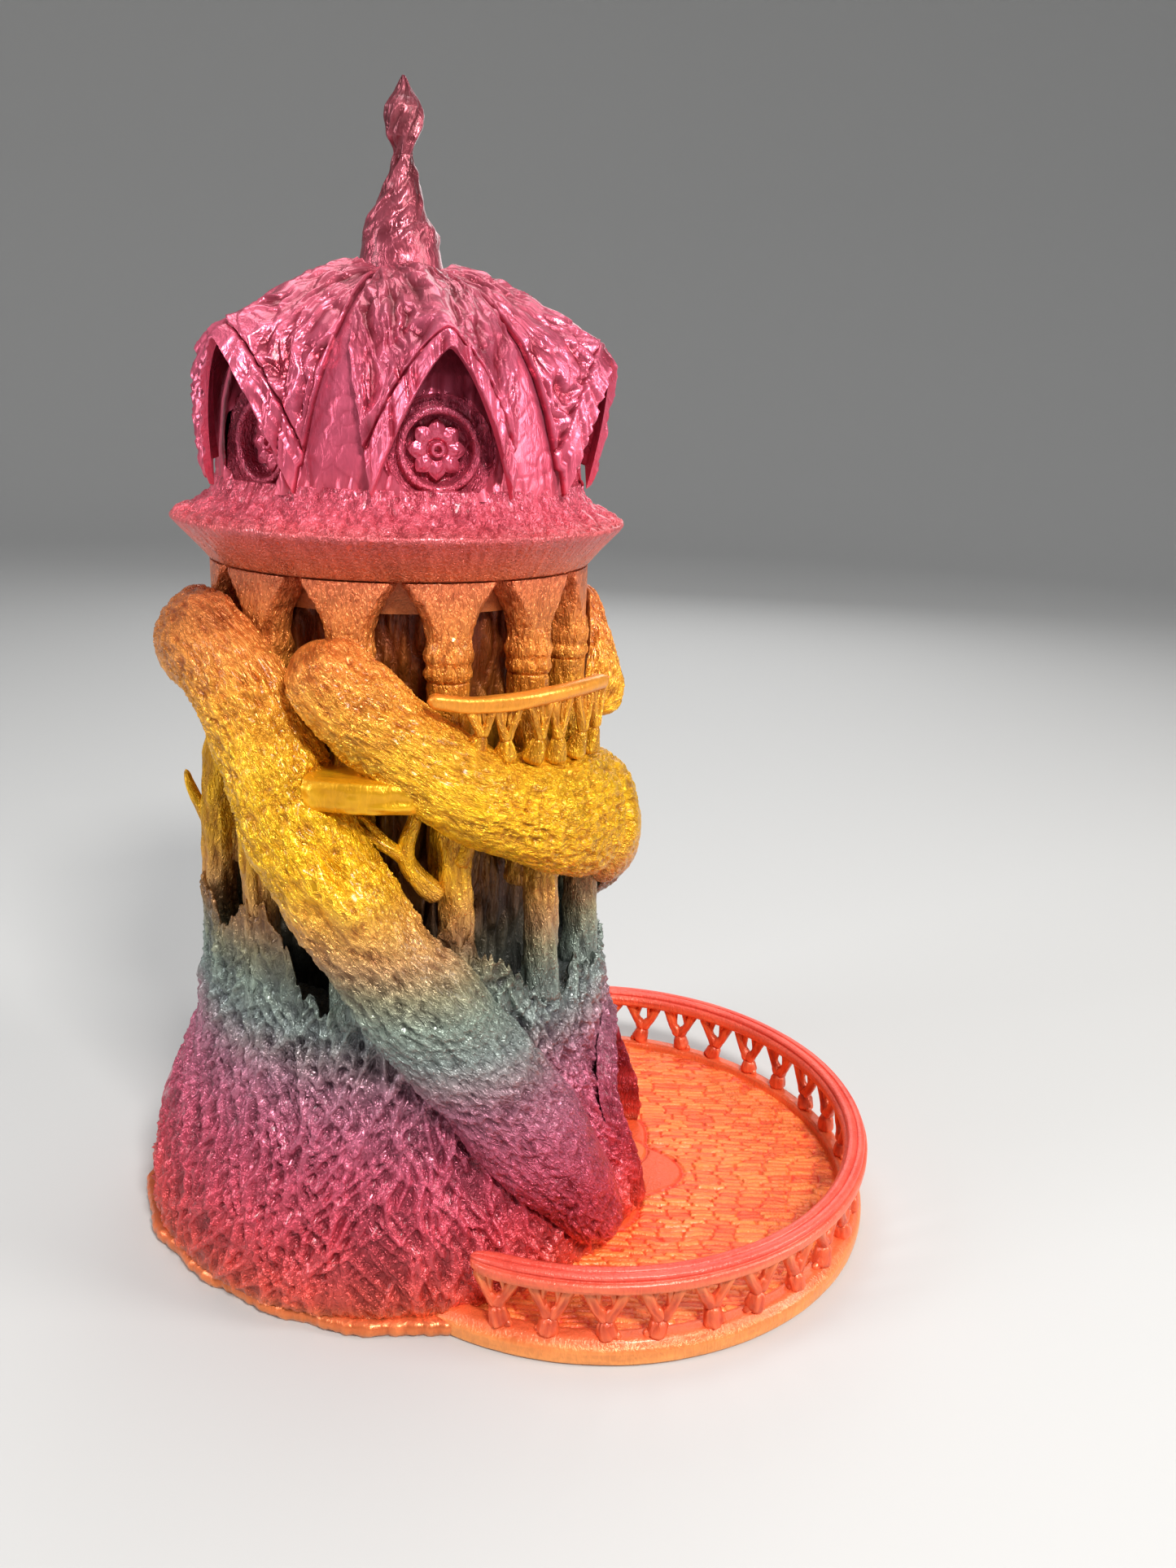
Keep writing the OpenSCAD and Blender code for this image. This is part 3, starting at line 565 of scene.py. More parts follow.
def root_surface(path, seed, knots):
    """A root that lies on the tower: a rounded bark back over a hidden flat side."""
    q = smooth_curve(path, 40)
    s = distance_along(at(seat_r(q[:, 1]) + q[:, 3] / 2, q[:, 0], q[:, 1]))
    n = int(s[-1] / ROOT_STEP)
    q = resample(q, n, s)
    u = np.linspace(0, s[-1], n)[:, None]
    az, z, w, thick = (q[:, k][:, None] for k in range(4))
    r_mid = seat_r(z) + thick / 2
    run = np.gradient(q[:, 0])[:, None] * math.pi / 180 * r_mid
    rise = np.gradient(q[:, 1])[:, None]
    long = np.hypot(run, rise)
    side_az, side_z = -rise / long, run / long
    blunt = round_end(np.minimum(u, s[-1] - u), 0.8 * w, 0.003)
    w, thick = w * blunt, thick * (0.25 + 0.75 * blunt)
    th = np.linspace(-0.18, math.pi + 0.18, 132)[None]
    across, outward = np.cos(th), np.sin(th)
    v = (th - math.pi / 2) * 0.5 * (w + thick)
    wave = 0.06 * noise(u / 16, 0 * v, seed=seed) + 0.05 * noise(u / 11, v / 9, seed=seed + 2)
    narrow = wrinkles(u, v, 1.9, 0.8, seed)
    broad = wrinkles(u, v, 3.8, 1.6, seed + 20)
    lump = noise(u / 9, v / 6, seed=seed + 40)
    strong = 0.85 + 0.5 * noise(u / 20, v / 11, seed=seed + 30)
    bump = (0.29 * narrow + 0.33 * broad) * strong + 0.2 * lump
    for share, middle, size_u, size_v, tall in knots:
        near = bell(u - share * s[-1], size_u) * bell(v - middle, size_v)
        bump = bump * (1 - 0.7 * near) + tall * near
    bump = bump * unit(blunt * 1.2)
    a = w * (1 + wave) * across + bump * across
    o = thick * (1 + wave) * outward + bump * outward
    zz = z + a * side_z
    aa = az + a * side_az / r_mid * 180 / math.pi
    o = np.where(outward < 0, outward * 1.5, o)
    outer = step(0.0, 0.35, outward)
    skin_r = np.interp(zz, SMOOTH_SEAT[:, 0], SMOOTH_SEAT[:, 1])
    pts = at(seat_r(zz) * (1 - outer) + skin_r * outer + o, aa, zz)
    # Painted shade in the bark's grooves, and on the hidden flat side below
    cav = unit(0.76 + 0.28 * narrow + 0.26 * broad)
    flow = np.stack(np.broadcast_arrays(0.4 * u, v, 0.02 * seed), axis=-1)
    back = np.linspace(0, 1, ROOT_UNDER + 2)[None, 1:-1, None]
    under = pts[:, -1:] * (1 - back) + pts[:, :1] * back
    pts = np.concatenate([pts, under], axis=1)
    cav = np.concatenate([cav, np.full((n, ROOT_UNDER), 0.3)], axis=1)
    flow = np.concatenate([flow, np.repeat(flow[:, -1:], ROOT_UNDER, axis=1)], axis=1)
    return pts, cav, flow


for i, (node_name, path) in enumerate(ROOTS.items()):
    pts, cav, flow = root_surface(path, 10 + 50 * i, KNOTS[node_name])
    skin = Skin().grid(pts, cav, wrap_v=True, cap=True, flow=flow)
    skin.make(node_name + "_bark", "tower", [node_name], "gold_roots", BARK, flip=True)

# ---------- foot and plinth ----------
# [height, radius] of the foot
FOOT = np.array([[4, 64.6], [9, 65.3], [16, 64.4], [26, 61.2], [36, 57.3], [50, 53], [68, 50.6], [110, 50.2]])
# [azimuth, height] of the ragged top edge of the foot's bark
SKIRT = np.array([
    [-180, 80], [-165, 88], [-150, 78], [-135, 86], [-120, 90], [-105, 82], [-92, 90], [-80, 86], [-68, 92],
    [-56, 88], [-48, 84], [-40, 91], [-32, 95], [-26, 90], [-20, 76], [-14, 71], [-8, 76], [0, 86], [10, 90],
    [20, 91], [27, 88], [34, 82], [41, 76], [48, 71], [54, 67.5], [58, 67], [61, 71], [64, 74], [68, 71],
    [76, 69], [90, 69], [100, 72], [112, 80], [125, 86], [140, 78], [155, 86], [168, 76], [180, 80],
])
FOOT_AZ, FOOT_ROWS = 960, 150


def foot_r(z):
    return np.interp(z, FOOT[:, 0], FOOT[:, 1])


def strands(az, z, seed, count, wide, lean):
    """Root strands that run down the foot, wander and fork: a ridge height from 0 to 1 on the grid az, z."""
    rng = np.random.default_rng(seed)
    ridge = np.zeros(az.shape)
    for _ in range(count):
        a0, z0 = rng.uniform(-180, 180), rng.uniform(14, 88)
        length = rng.uniform(16, 54)
        drift = rng.normal(0, lean)
        w0 = rng.uniform(0.6, 1.25) * wide
        parts = [(z0, drift, length, w0)]
        if rng.random() < 0.7:
            fork = drift + rng.choice([-1, 1]) * rng.uniform(0.5, 1.1)
            parts.append((z0 - length * 0.35, fork, length * 0.5, w0 * 0.8))
        for top, slope, tall, width in parts:
            foot = max(top - tall, 4)
            rows = np.where((z[0] > foot) & (z[0] < top))[0]
            if len(rows) < 4:
                continue
            zz = z[0][rows]
            t = (top - zz) / (top - foot)
            wander = 3.0 * noise(zz / 9, np.full(len(zz), a0), seed=seed)
            centre = a0 + np.degrees((slope * (top - zz) + wander) / foot_r(zz))
            width = width * np.clip(4 * np.minimum(t + 0.1, 1.15 - t), 0.2, 1) * (0.8 + 0.7 * t)
            mm = np.radians(turn_from(centre[None], az[:, rows])) * foot_r(zz)[None]
            hit = bell(mm, width[None]) * unit(6 * np.minimum(t + 0.05, 1.1 - t))[None]
            ridge[:, rows] = np.maximum(ridge[:, rows], hit)
    return ridge


def foot_relief(az, heights):
    """Height and painted shade of the foot's bark on a grid of azimuths and heights."""
    aa, z = mesh(az, heights)
    x, y, _ = np.moveaxis(at(foot_r(z), aa, z), -1, 0)
    warp = 2.4 * noise(x / 10, y / 10, z / 12, 61)
    upper = step(36, 58, z)
    xw, yw = x + warp, y - warp
    long = 7 - 3 * upper
    veins = np.clip(1 - 4.2 * np.abs(noise(xw / 3.6, yw / 3.6, z / long, 71)), -0.8, 1)
    thin_veins = np.clip(1 - 3.8 * np.abs(noise(xw / 1.9 + 3, yw / 1.9, z / (0.5 * long), 81)), -0.8, 1)
    bent = x / 3.0 + 1.2 * noise(x / 5, y / 5, z / 5, 91)
    tangle = upper * (1 - 3.0 * np.abs(noise(bent, y / 3.0, (z + warp) / 3.2, 92)))
    rope = strands(aa, z, 5, 210, 0.8, 0.5)
    thread = strands(aa, z, 9, 420, 0.55, 1.3)
    lumps = (noise(x / 22, y / 22, z / 20, 95) + 0.5 * noise(x / 11, y / 11, z / 10, 112)) / 1.5
    fine = noise(x / 1.1, y / 1.1, z / 2.4, 93)
    h = 1.2 * lumps + 0.26 * veins + 0.16 * thin_veins + 0.4 * tangle + 0.05 * fine
    h = h + 1.5 * rope * (1 - 0.4 * upper) + 1.1 * thread
    burl = bell(aa + 74, 12) * bell(z - 33, 6)
    flare = step(12, 4, z)
    h = (h + 2.4 * burl - 0.9) * (1 - 0.5 * flare) + flare * 0.9
    # Painted shade between the veins, strands and tangles; their crests are left light
    cav = 0.36 + 0.14 * veins + 0.10 * thin_veins + 0.55 * rope + 0.45 * thread + 0.20 * tangle
    return h, unit(cav)


def foot_skin():
    """The foot's bark up to its ragged edge, then a lip and the foot's flat top, open at the doorway."""
    az = compass(FOOT_AZ)
    zero = np.zeros(FOOT_AZ)
    top = np.interp(az, SKIRT[:, 0], SKIRT[:, 1])
    top = top + 2.2 * noise(az / 3.2, zero, seed=3) + 1.5 * noise(az / 0.9, zero, seed=4)
    z = PLATE_Z + np.linspace(0, 1, FOOT_ROWS)[None] * (top[:, None] - PLATE_Z)
    heights = np.linspace(PLATE_Z, 100, 210)
    place = (z - heights[0]) / (heights[1] - heights[0])
    i = np.clip(np.floor(place).astype(int), 0, len(heights) - 2)
    f = unit(place - i)
    rows = np.arange(FOOT_AZ)[:, None]
    h, cav = (g[rows, i] * (1 - f) + g[rows, i + 1] * f for g in foot_relief(az, heights))
    pts = at(foot_r(z) + np.clip(h, -2.6, 2.6), az[:, None], z)
    # Push the points inside the doorway out to its arch, so that the bark ends along the frame
    x, y, z = np.moveaxis(pts, -1, 0)
    over = np.where(z > SPRING_OUT, np.hypot(y, z - SPRING_OUT), np.abs(y))
    inside = (over < FRAME_W - 1) & (x > 0)
    scale = (FRAME_W - 1) / np.maximum(over, 1e-6)
    moved_z = np.where(inside & (z > SPRING_OUT), SPRING_OUT + (z - SPRING_OUT) * scale, z)
    moved = np.stack([x, np.where(inside, y * scale, y), moved_z], axis=-1)
    lip, shade = [], []
    # Painted shade on the lip, and darker on the foot's flat top inside the columns
    for dr, zz in ((-0.7, top + 0.25), (-1.3, top - 0.6), (-1.5, top - 3)):
        lip.append(at(foot_r(top) + np.clip(h[:, -1], -0.4, 0.8) + dr, az, np.maximum(zz, FOOT_Z)))
        shade.append(np.full(FOOT_AZ, 0.4))
    for r in (48.6, 46, 42, 38, TUBE_R + 0.1):
        ring = at(r, az, 0)
        rough = 0.5 * noise(ring[:, 0] / 2.5, ring[:, 1] / 2.5, seed=33)
        lip.append(at(r, az, FOOT_Z + 0.1 + np.abs(rough)))
        shade.append(np.full(FOOT_AZ, 0.25))
    pts = np.concatenate([moved, np.stack(lip, axis=1)], axis=1)
    cav = np.concatenate([cav, np.stack(shade, axis=1)], axis=1)
    keep = np.concatenate([~inside, np.ones((FOOT_AZ, len(lip)), bool)], axis=1)
    return pts, cav, keep


pts, cav, keep = foot_skin()
skin = Skin().grid(pts, cav, wrap_u=True, keep=keep, flow=pts * np.array([0.6, 0.6, 0.4]))
skin.make("foot_bark", "tower", ["root_foot", "bark_edge"], "magenta_foot", FOOT_BARK)

# Plinth: rows of [share of the outline's radius, height]
PLINTH = [
    (0.55, 0), (0.985, 0), (1.0, 0.7), (1.002, 2.4), (0.999, 3.4), (0.985, 3.9), (0.95, 4.0), (0.55, 4.0),
]
PLINTH_R = 66
a = circle(900)[:, None]
outline = 66.4 + 1.6 * np.cos(4 * (a + math.radians(165))) + 0.5 * np.sin(19 * a + math.radians(40)) - 0.25
prof = resample([(share * PLINTH_R, z) for share, z in PLINTH], 46)
k = prof[:, 0][None] / PLINTH_R
x, y = np.cos(a) * outline * k, np.sin(a) * outline * k
z = np.broadcast_to(prof[:, 1][None], x.shape)
g = noise(x / 1.9, y / 1.9, z / 9, 7) + 0.5 * noise(x / 0.8, y / 0.8, z / 3, 8)
grow = 1 + 0.006 * g * step(0.93, 0.99, k)
top_bump = np.where((z > 3.8) & (k > 0.9), 0.12 * g, 0)
p = np.stack([x * grow, y * grow, z + top_bump], -1)
# Painted shading that follows the plinth's bumps: darker in dips, lighter on bulges
skin = Skin().grid(p, unit(0.65 + 0.25 * g), wrap_u=True, wrap_v=True)
skin.make("plinth", "tower", ["base_plinth"], "amber_base", SMOOTH)

# ---------- core tube and columns ----------
az, z = mesh(compass(420), np.linspace(FOOT_Z - 2, SEAM_Z - 0.2, 190))
x, y = TUBE_R * np.sin(np.radians(az)), -TUBE_R * np.cos(np.radians(az))
warp = 1.6 * noise(x / 8, y / 8, z / 14, 201)
gap, own = cells((x + warp) / 3.0, (y + warp) / 3.0, (z + 3 * warp) / 17, seed=202)
rope = step(0, 0.45, gap) + 0.6 * (own - 0.5)
net = noise(x / 1.3, y / 1.3, z / 4, 203)
core = at(TUBE_R + 0.1 + np.clip(1.5 * rope + 0.35 * net, 0, 2.6), az, z)
# Painted shade over most of the core, lighter on its ropes
skin = Skin().grid(core, unit(0.12 + 0.45 * rope + 0.1 * net), wrap_u=True)
skin.make("core_bark", "tower", [], "inner_bark", DARK)

COLUMN_AZ = [22.5 + 30 * i for i in range(12)]
COLUMN_R = 40
# [radius, height] of a column's capital and shaft
CAPITAL = [
    (0.5, 145.6), (4.3, 146), (5.2, 147.2), (5.2, 148.4), (4.85, 149.2), (4.85, 150), (5.3, 150.8),
    (5.35, 152.2), (5.0, 153.4), (4.8, 155), (5.1, 157), (5.9, 159.6), (7.2, 162.6), (8.9, 165.2),
    (10.2, 167.5), (0.5, 167.5),
]
SHAFT = [(0.4, 95.5), (4.4, 96), (4.6, 120), (4.6, 146.2), (0.4, 146.4)]
CAPITAL_FLARE_Z = 156  # above it, a capital stays between the core and the brim


def turned(profile, cx, cy, rows, seg, seed, depth, wide, tall):
    """A bark-grooved shape turned about an upright line, with its points and painted shade."""
    prof = resample(profile, rows)
    r, t = mesh(prof[:, 0], circle(seg))
    z = np.broadcast_to(prof[:, 1][:, None], (rows, seg))
    a, b = r * np.cos(t), r * np.sin(t)
    twist = 0.8 * noise(a / 3, b / 3, z / 9, seed)
    gap, own = cells((a + twist) / (wide * 2), (b + twist) / (wide * 2), z / tall, seed=seed + 1)
    groove = 1 - 3.2 * np.abs(noise((a + twist) / 0.8, (b + twist) / 0.8, z / 4.2, seed + 2))
    g = 0.7 * (step(0, 0.5, gap) - 0.6) + 0.4 * (own - 0.5) + 0.5 * groove
    r = r + depth * g * step(0.4, 2.0, r)
    return np.stack([cx + r * np.cos(t), cy + r * np.sin(t), z], -1), unit(0.6 + 0.4 * g)


for i, column_az in enumerate(COLUMN_AZ):
    skin = Skin()
    cx, cy, _ = at(COLUMN_R, column_az, 0)
    p, c = turned(CAPITAL, cx, cy, 64, 84, 300 + i, 0.42, 0.95, 8)
    from_axis = np.hypot(p[..., 0], p[..., 1])
    fit = np.where(p[..., 2] > CAPITAL_FLARE_Z, np.clip(from_axis, 36.9, 44.1) / from_axis, 1)
    p[..., :2] *= fit[..., None]
    # Painted shade: the capital is painted lighter and the shaft below it darker
    skin.grid(p, unit(c + 0.25), wrap_v=True, cap=True)
    p, c = turned(SHAFT, cx, cy, 110, 56, 330 + i, 0.4, 0.8, 9)
    skin.grid(p, c * 0.92, wrap_v=True, cap=True)
    # The lower trunk: a rough trunk that swells at its foot, sways a little and leans in to join the shaft
    rng = np.random.default_rng(40 + i)
    z = np.linspace(FOOT_Z, 134, 48)
    sway = 0.7 * np.sin(z / 9 + rng.uniform(0, 6))
    path = at(np.interp(z, [104, 121, 134], [45.5, 44, 40.2]), column_az + sway * 0.7, z)
    radii = np.interp(z, [68, 74, 88, 104, 116, 124, 134], [4.9, 4.4, 3.9, 3.8, 4.3, 4.4, 3.4])
    skin.tube(path, radii, seg=44, rough=0.13, grain=3.2, seed=360 + i, blunt=False)
    skin.make(f"column_bark_{i + 1}", "tower", [f"column_{i + 1}"], "orange_columns", BARK)

# ---------- branches and balcony ----------
# Each arm is rows of [distance, azimuth, height, radius]
ARMS = [
    [[47, 18, 99, 2.6], [47.6, 13, 103.5, 2.3], [48, 9.5, 108, 2.0], [48, 9.2, 112, 1.8],
     [47.6, 11.2, 117, 1.5], [47, 12, 121, 1.6]],
    [[47.8, 10, 108, 1.9], [48.4, 6.5, 110.5, 1.5], [48.6, 2.5, 112.5, 1.15], [48.8, -2, 115.5, 0.85],
     [48.8, -5.5, 117.6, 0.4]],
    [[48.4, 7.5, 110, 1.3], [48.4, 3.5, 113.4, 1.0], [48.4, -0.5, 117, 0.75], [48.6, -3.5, 118.8, 0.35]],
    [[47.4, 22.5, 106, 2.4], [47.6, 25, 110, 2.0], [47.6, 26, 115, 1.6], [47, 26, 121, 1.4]],
    [[46.8, -68, 104, 1.8], [49.6, -70, 110, 1.4], [51.2, -71.5, 114, 1.1], [52, -72.5, 117.5, 0.5]],
]
# [azimuth, which way it leans] of the branches between columns
LEANING = [(52.5, 1), (82.5, -1), (112.5, 1), (142.5, -1), (-127.5, -1), (-157.5, 1), (172.5, 1)]
arms = Skin()
for i, rows in enumerate(ARMS):
    branch(arms, rows, 401 + i)
for i, (a, lean) in enumerate(LEANING):
    branch(arms, [[46, a, 96, 2.2], [47.6, a + 3 * lean, 102, 1.9], [47.6, a + 7 * lean, 108, 1.6],
                  [46.6, a + 9 * lean, 116, 1.3], [44, a + 10 * lean, 124, 1.0]], 410 + i)
arms.make("forked_branches", "tower", ["branch_arms"], "gold_roots", BARK)

LEDGE = [
    (45, 121.6), (54, 120.9), (56.4, 121.6), (57.1, 123.2), (57.1, 126.6), (56.4, 128.1), (54.6, 128.6),
    (45, 128.6),
]
LEDGE_FROM, LEDGE_TO = -13.5, 12.5


def ledge_wobble(x, y, z, aa, r):
    g = noise(x / 7, y / 7, z / 1.6, 421) + 0.4 * noise(x / 2.2, y / 2.2, z / 0.8, 422)
    end = np.minimum(aa - LEDGE_FROM, LEDGE_TO - aa)
    # Painted shading that follows the wobble: darker in dips, lighter on bulges
    return 0.35 * g * (r > 47) - 1.2 * step(3.0, 0, end), 0 * g, unit(0.62 + 0.3 * g)


p, c = revolve(LEDGE, np.linspace(LEDGE_FROM, LEDGE_TO, 90), ledge_wobble, 60)
skin = Skin().grid(p, c, wrap_v=True, cap=True)
skin.make("balcony_ledge", "tower", ["balcony_floor"], "gold_balcony", SMOOTH, flip=True)

# Handrail: a squarish bar that curves round the tower
BALC_R = 52
BALC_FROM, BALC_TO = 14, 69.5
az = np.linspace(BALC_FROM, BALC_TO, 90)
pts = at(BALC_R, az, 143.6 + 0.25 * np.sin(az / 7) + 0.8 * step(24, 14, az))
tan = np.gradient(pts, axis=0)
tan /= np.linalg.norm(tan, axis=1)[:, None]
side = np.cross(tan, UP)
s = np.linspace(0, np.radians(BALC_TO - BALC_FROM) * BALC_R, 90)
c, d = np.cos(circle(28)), np.sin(circle(28))
g = noise(s[:, None] / 9, c[None] * 1.2, d[None] * 1.2, 431)
rr = round_end(np.minimum(s, s[-1] - s), 2.0, 0.01)[:, None] * (1 + 0.10 * g)
square = (np.abs(c) ** 3 + np.abs(d) ** 3) ** (-1 / 3)
wide, tall = rr * 1.85 * square * c, rr * 1.75 * square * d
p = pts[:, None] + wide[..., None] * side[:, None] + tall[..., None] * UP
# Painted shading that follows the bar's bumps: darker in dips, lighter on bulges
skin = Skin().grid(p, unit(0.7 + 0.25 * g), wrap_v=True, cap=True)
skin.make("balcony_handrail", "tower", ["balcony_rail"], "gold_balcony", SMOOTH)

# Forked posts from the upper root to the handrail
posts = Skin()
ROOT_TOP = np.array([[17, 139], [26, 137.2], [34, 134.5], [46, 132], [58, 131.5], [70, 131]])
top = BALC_Z0 + 0.9
for i, az in enumerate([26, 34, 42, 50, 58, 66]):
    base = np.interp(az, ROOT_TOP[:, 0], ROOT_TOP[:, 1]) - 4.4
    tall = BALC_Z0 + 0.6 - base
    lean = (-1) ** i * 0.8
    mid = base + 0.45 * tall
    stem = [[50.2, az, base, 3.2], [51.4, az + lean * 0.6, base + 0.3 * tall, 1.9],
            [BALC_R, az + lean, mid, 1.5]]
    branch(posts, stem, 440 + i, 20)
    for d in (-1, 1):
        fork = az + lean + 1.5 * d
        branch(posts, [[BALC_R, az + lean, mid - 0.8, 1.25], [52.1, fork, mid + 0.22 * tall, 1.0],
                       [BALC_R, az + lean * 0.5 + 3.1 * d, top, 1.2]], 450 + 2 * i + d, 16)
        if tall > 7:
            twig = az + lean + 1.2 * d
            branch(posts, [[BALC_R, twig, mid + 0.12 * tall, 0.6],
                           [BALC_R, twig - 0.5 * d, mid + 0.3 * tall, 0.5],
                           [BALC_R, az + lean * 0.3 + 0.9 * d, top, 0.7]], 470 + 2 * i + d, 12)
posts.make("balcony_forks", "tower", ["balcony_posts"], "gold_balcony", BARK)

# ---------- tray ----------
PLATE = [
    (TRAY_R - 8, 0), (TRAY_R - 0.8, 0), (TRAY_R - 0.1, 0.6), (TRAY_R, 1.4), (TRAY_R, 3.6),
    (TRAY_R - 0.3, 4.2), (TRAY_R - 1.7, CURB_Z - 0.3), (TRAY_R - 2.4, CURB_Z), (67.4, CURB_Z),
    (66.4, CURB_Z - 0.4), (66.1, 4.6), (66.0, 3.2), (64.2, 1.0),
]


def plate_wobble(x, y, z, aa, r):
    g = noise(x / 6, y / 6, z / 0.9, 501) + 0.5 * noise(x / 2, y / 2, z / 0.45, 502)
    # Painted shading that follows the wobble: darker in dips, lighter on bulges
    return 0.07 * g, 0 * g, unit(0.7 + 0.15 * g)


p, c = revolve(PLATE, compass(620), plate_wobble, 70)
p = p + np.array([TRAY_X, TRAY_Y, 0])
outside = np.hypot(p[..., 0], p[..., 1]) >= 64.2
skin = Skin().grid(p, c, wrap_u=True, wrap_v=True, keep=outside)
skin.make("tray_rim", "tower", ["tray_plate"], "amber_base", TRAY)

# Planked floor: a polar sheet of short carved dashes that run along X
FLOOR_EDGE = 66.2
PLANK_WIDE, PLANK_LONG = 1.6, 6.6
t, rr = mesh(circle(760), np.linspace(0.02, FLOOR_EDGE, 250))
x, y = TRAY_X + rr * np.cos(t), TRAY_Y + rr * np.sin(t)
row = y / PLANK_WIDE + 0.6 * noise(x / 14, y / 9, seed=511) + 0.18 * noise(x / 3, y / 3, seed=512)
lane = np.floor(row).astype(np.int64)
zero = np.zeros_like(lane)
across = np.abs(row - lane - 0.5) * 2
dash = x / PLANK_LONG + 7.3 * hash01(lane, zero, zero, 5) + 0.3 * noise(x / 5, y / 5, seed=513)
cell = np.floor(dash).astype(np.int64)
along = np.abs(dash - cell - 0.5) * 2
own = hash01(cell, lane, zero, 6)
plank = (1 - step(0.62, 0.98, across)) * (1 - step(0.86, 1.0, along))
grain = noise(x / 2.6, y / 0.45, seed=514)
hgt = 0.7 * plank * (0.55 + 0.6 * own) + 0.10 * grain
z = FLOOR_Z - 0.55 + hgt * step(FLOOR_EDGE, 64.5, rr)
z = np.where(rr > 65.8, PLATE_Z, z)
# The medallion: two rings of six smooth petals, carved into the planks in front of the doorway
FLOWER_X, FLOWER_Y = 45.0, -3.0
d = np.hypot(x - FLOWER_X, y - FLOWER_Y)
w = np.arctan2(y - FLOWER_Y, x - FLOWER_X) + math.radians(5)
outer = 24 + 7 * np.abs(np.cos(3 * w)) ** 1.5
inner = 16.5 + 6.5 * np.abs(np.cos(3 * w + math.pi / 2)) ** 1.3
on_outer = step(0.5, -0.5, d - outer)
on_inner = step(0.4, -0.4, d - inner)
groove = bell(d - outer, 0.7) + 0.8 * bell(d - inner, 0.6)
vein = 0.18 * np.cos(6 * w) * step(5, 12, d)
flower = FLOOR_Z + 0.05 + 0.25 * on_inner + 0.10 * vein + 0.05 * noise(x / 2, y / 2, seed=515)
z = z * (1 - on_outer) + flower * on_outer - 0.45 * groove * (d < 34)
# Partly a random tone for each plank, partly painted shade in the gaps; the medallion's outer ring is painted
# in shade, its raised inner petals lighter and its grooves darker
cav = unit(0.1 + 0.62 * plank + 0.75 * (own - 0.5) + 0.2 * grain)
cav = cav * (1 - on_outer) + (0.30 + 0.36 * on_inner) * on_outer
cav = unit(cav - 0.35 * groove)
from_axis = np.hypot(x, y)
passage = (np.abs(y) < DOOR_W) & (x > 0)
keep = ((from_axis > 62.5) | passage) & (from_axis > TUBE_R - 1)
skin = Skin().grid(np.stack([x, y, z], -1), cav, wrap_u=True, keep=keep)
skin.make("planked_floor", "tower", ["tray_floor", "tray_medallion"], "orange_tray", PLANKS)

# Railing: a plain lower band and a top with two grooves, tapering to a point at each end
RAIL_END = 112.5  # degrees each way from the tray's far side
RAIL_R = 68.9
# [radius, height above the rail's underside] outside and inside, [radius, depth below its top] between them
RAIL_OUTSIDE = [
    (66.4, 0.2), (67.2, 0), (71.0, 0), (71.8, 0.5), (72.0, 1.2), (71.9, 2.5), (71.4, 2.9), (70.9, 3.0),
    (70.95, 3.5), (71.3, 3.9), (70.9, 4.5),
]
RAIL_TOP = [(70.2, 0), (69.4, 0.15), (69.1, 0.75), (68.8, 0.15), (67.9, 0), (67.1, 0.3)]
RAIL_INSIDE = [(66.7, 3.9), (66.9, 3.4), (66.3, 3.0), (65.9, 2.4), (65.9, 0.9), (66.4, 0.2)]
rail = [(r, RAIL_Z0 + z) for r, z in RAIL_OUTSIDE]
rail += [(r, RAIL_Z1 - z) for r, z in RAIL_TOP]
rail += [(r, RAIL_Z0 + z) for r, z in RAIL_INSIDE]
prof = resample(rail, 84)[:-1]
ang = np.linspace(-RAIL_END - 1.5, RAIL_END, 460)[:, None]
taper = unit(np.minimum(ang + RAIL_END + 1.5, RAIL_END + 0.2 - ang) / 7.5)
taper = 0.12 + 0.88 * np.sqrt(1 - (1 - taper) ** 2)
r = RAIL_R + (prof[:, 0][None] - RAIL_R) * taper
z = RAIL_Z0 + 1.9 + (prof[:, 1][None] - RAIL_Z0 - 1.9) * (0.35 + 0.65 * taper)
x, y = r * np.cos(np.radians(ang)), r * np.sin(np.radians(ang))
g = noise(x / 9, y / 9, z / 0.8, 521) + 0.5 * noise(x / 2, y / 2, z / 0.5, 522)
# Painted shading that follows the rail's bumps: darker in dips, lighter on bulges
skin = Skin().grid(on_tray(r + 0.08 * g, ang, z), unit(0.66 + 0.22 * g), wrap_v=True, cap=True)
skin.make("tray_railing", "tower", ["tray_rail"], "coral_rail", TRAY, flip=True)

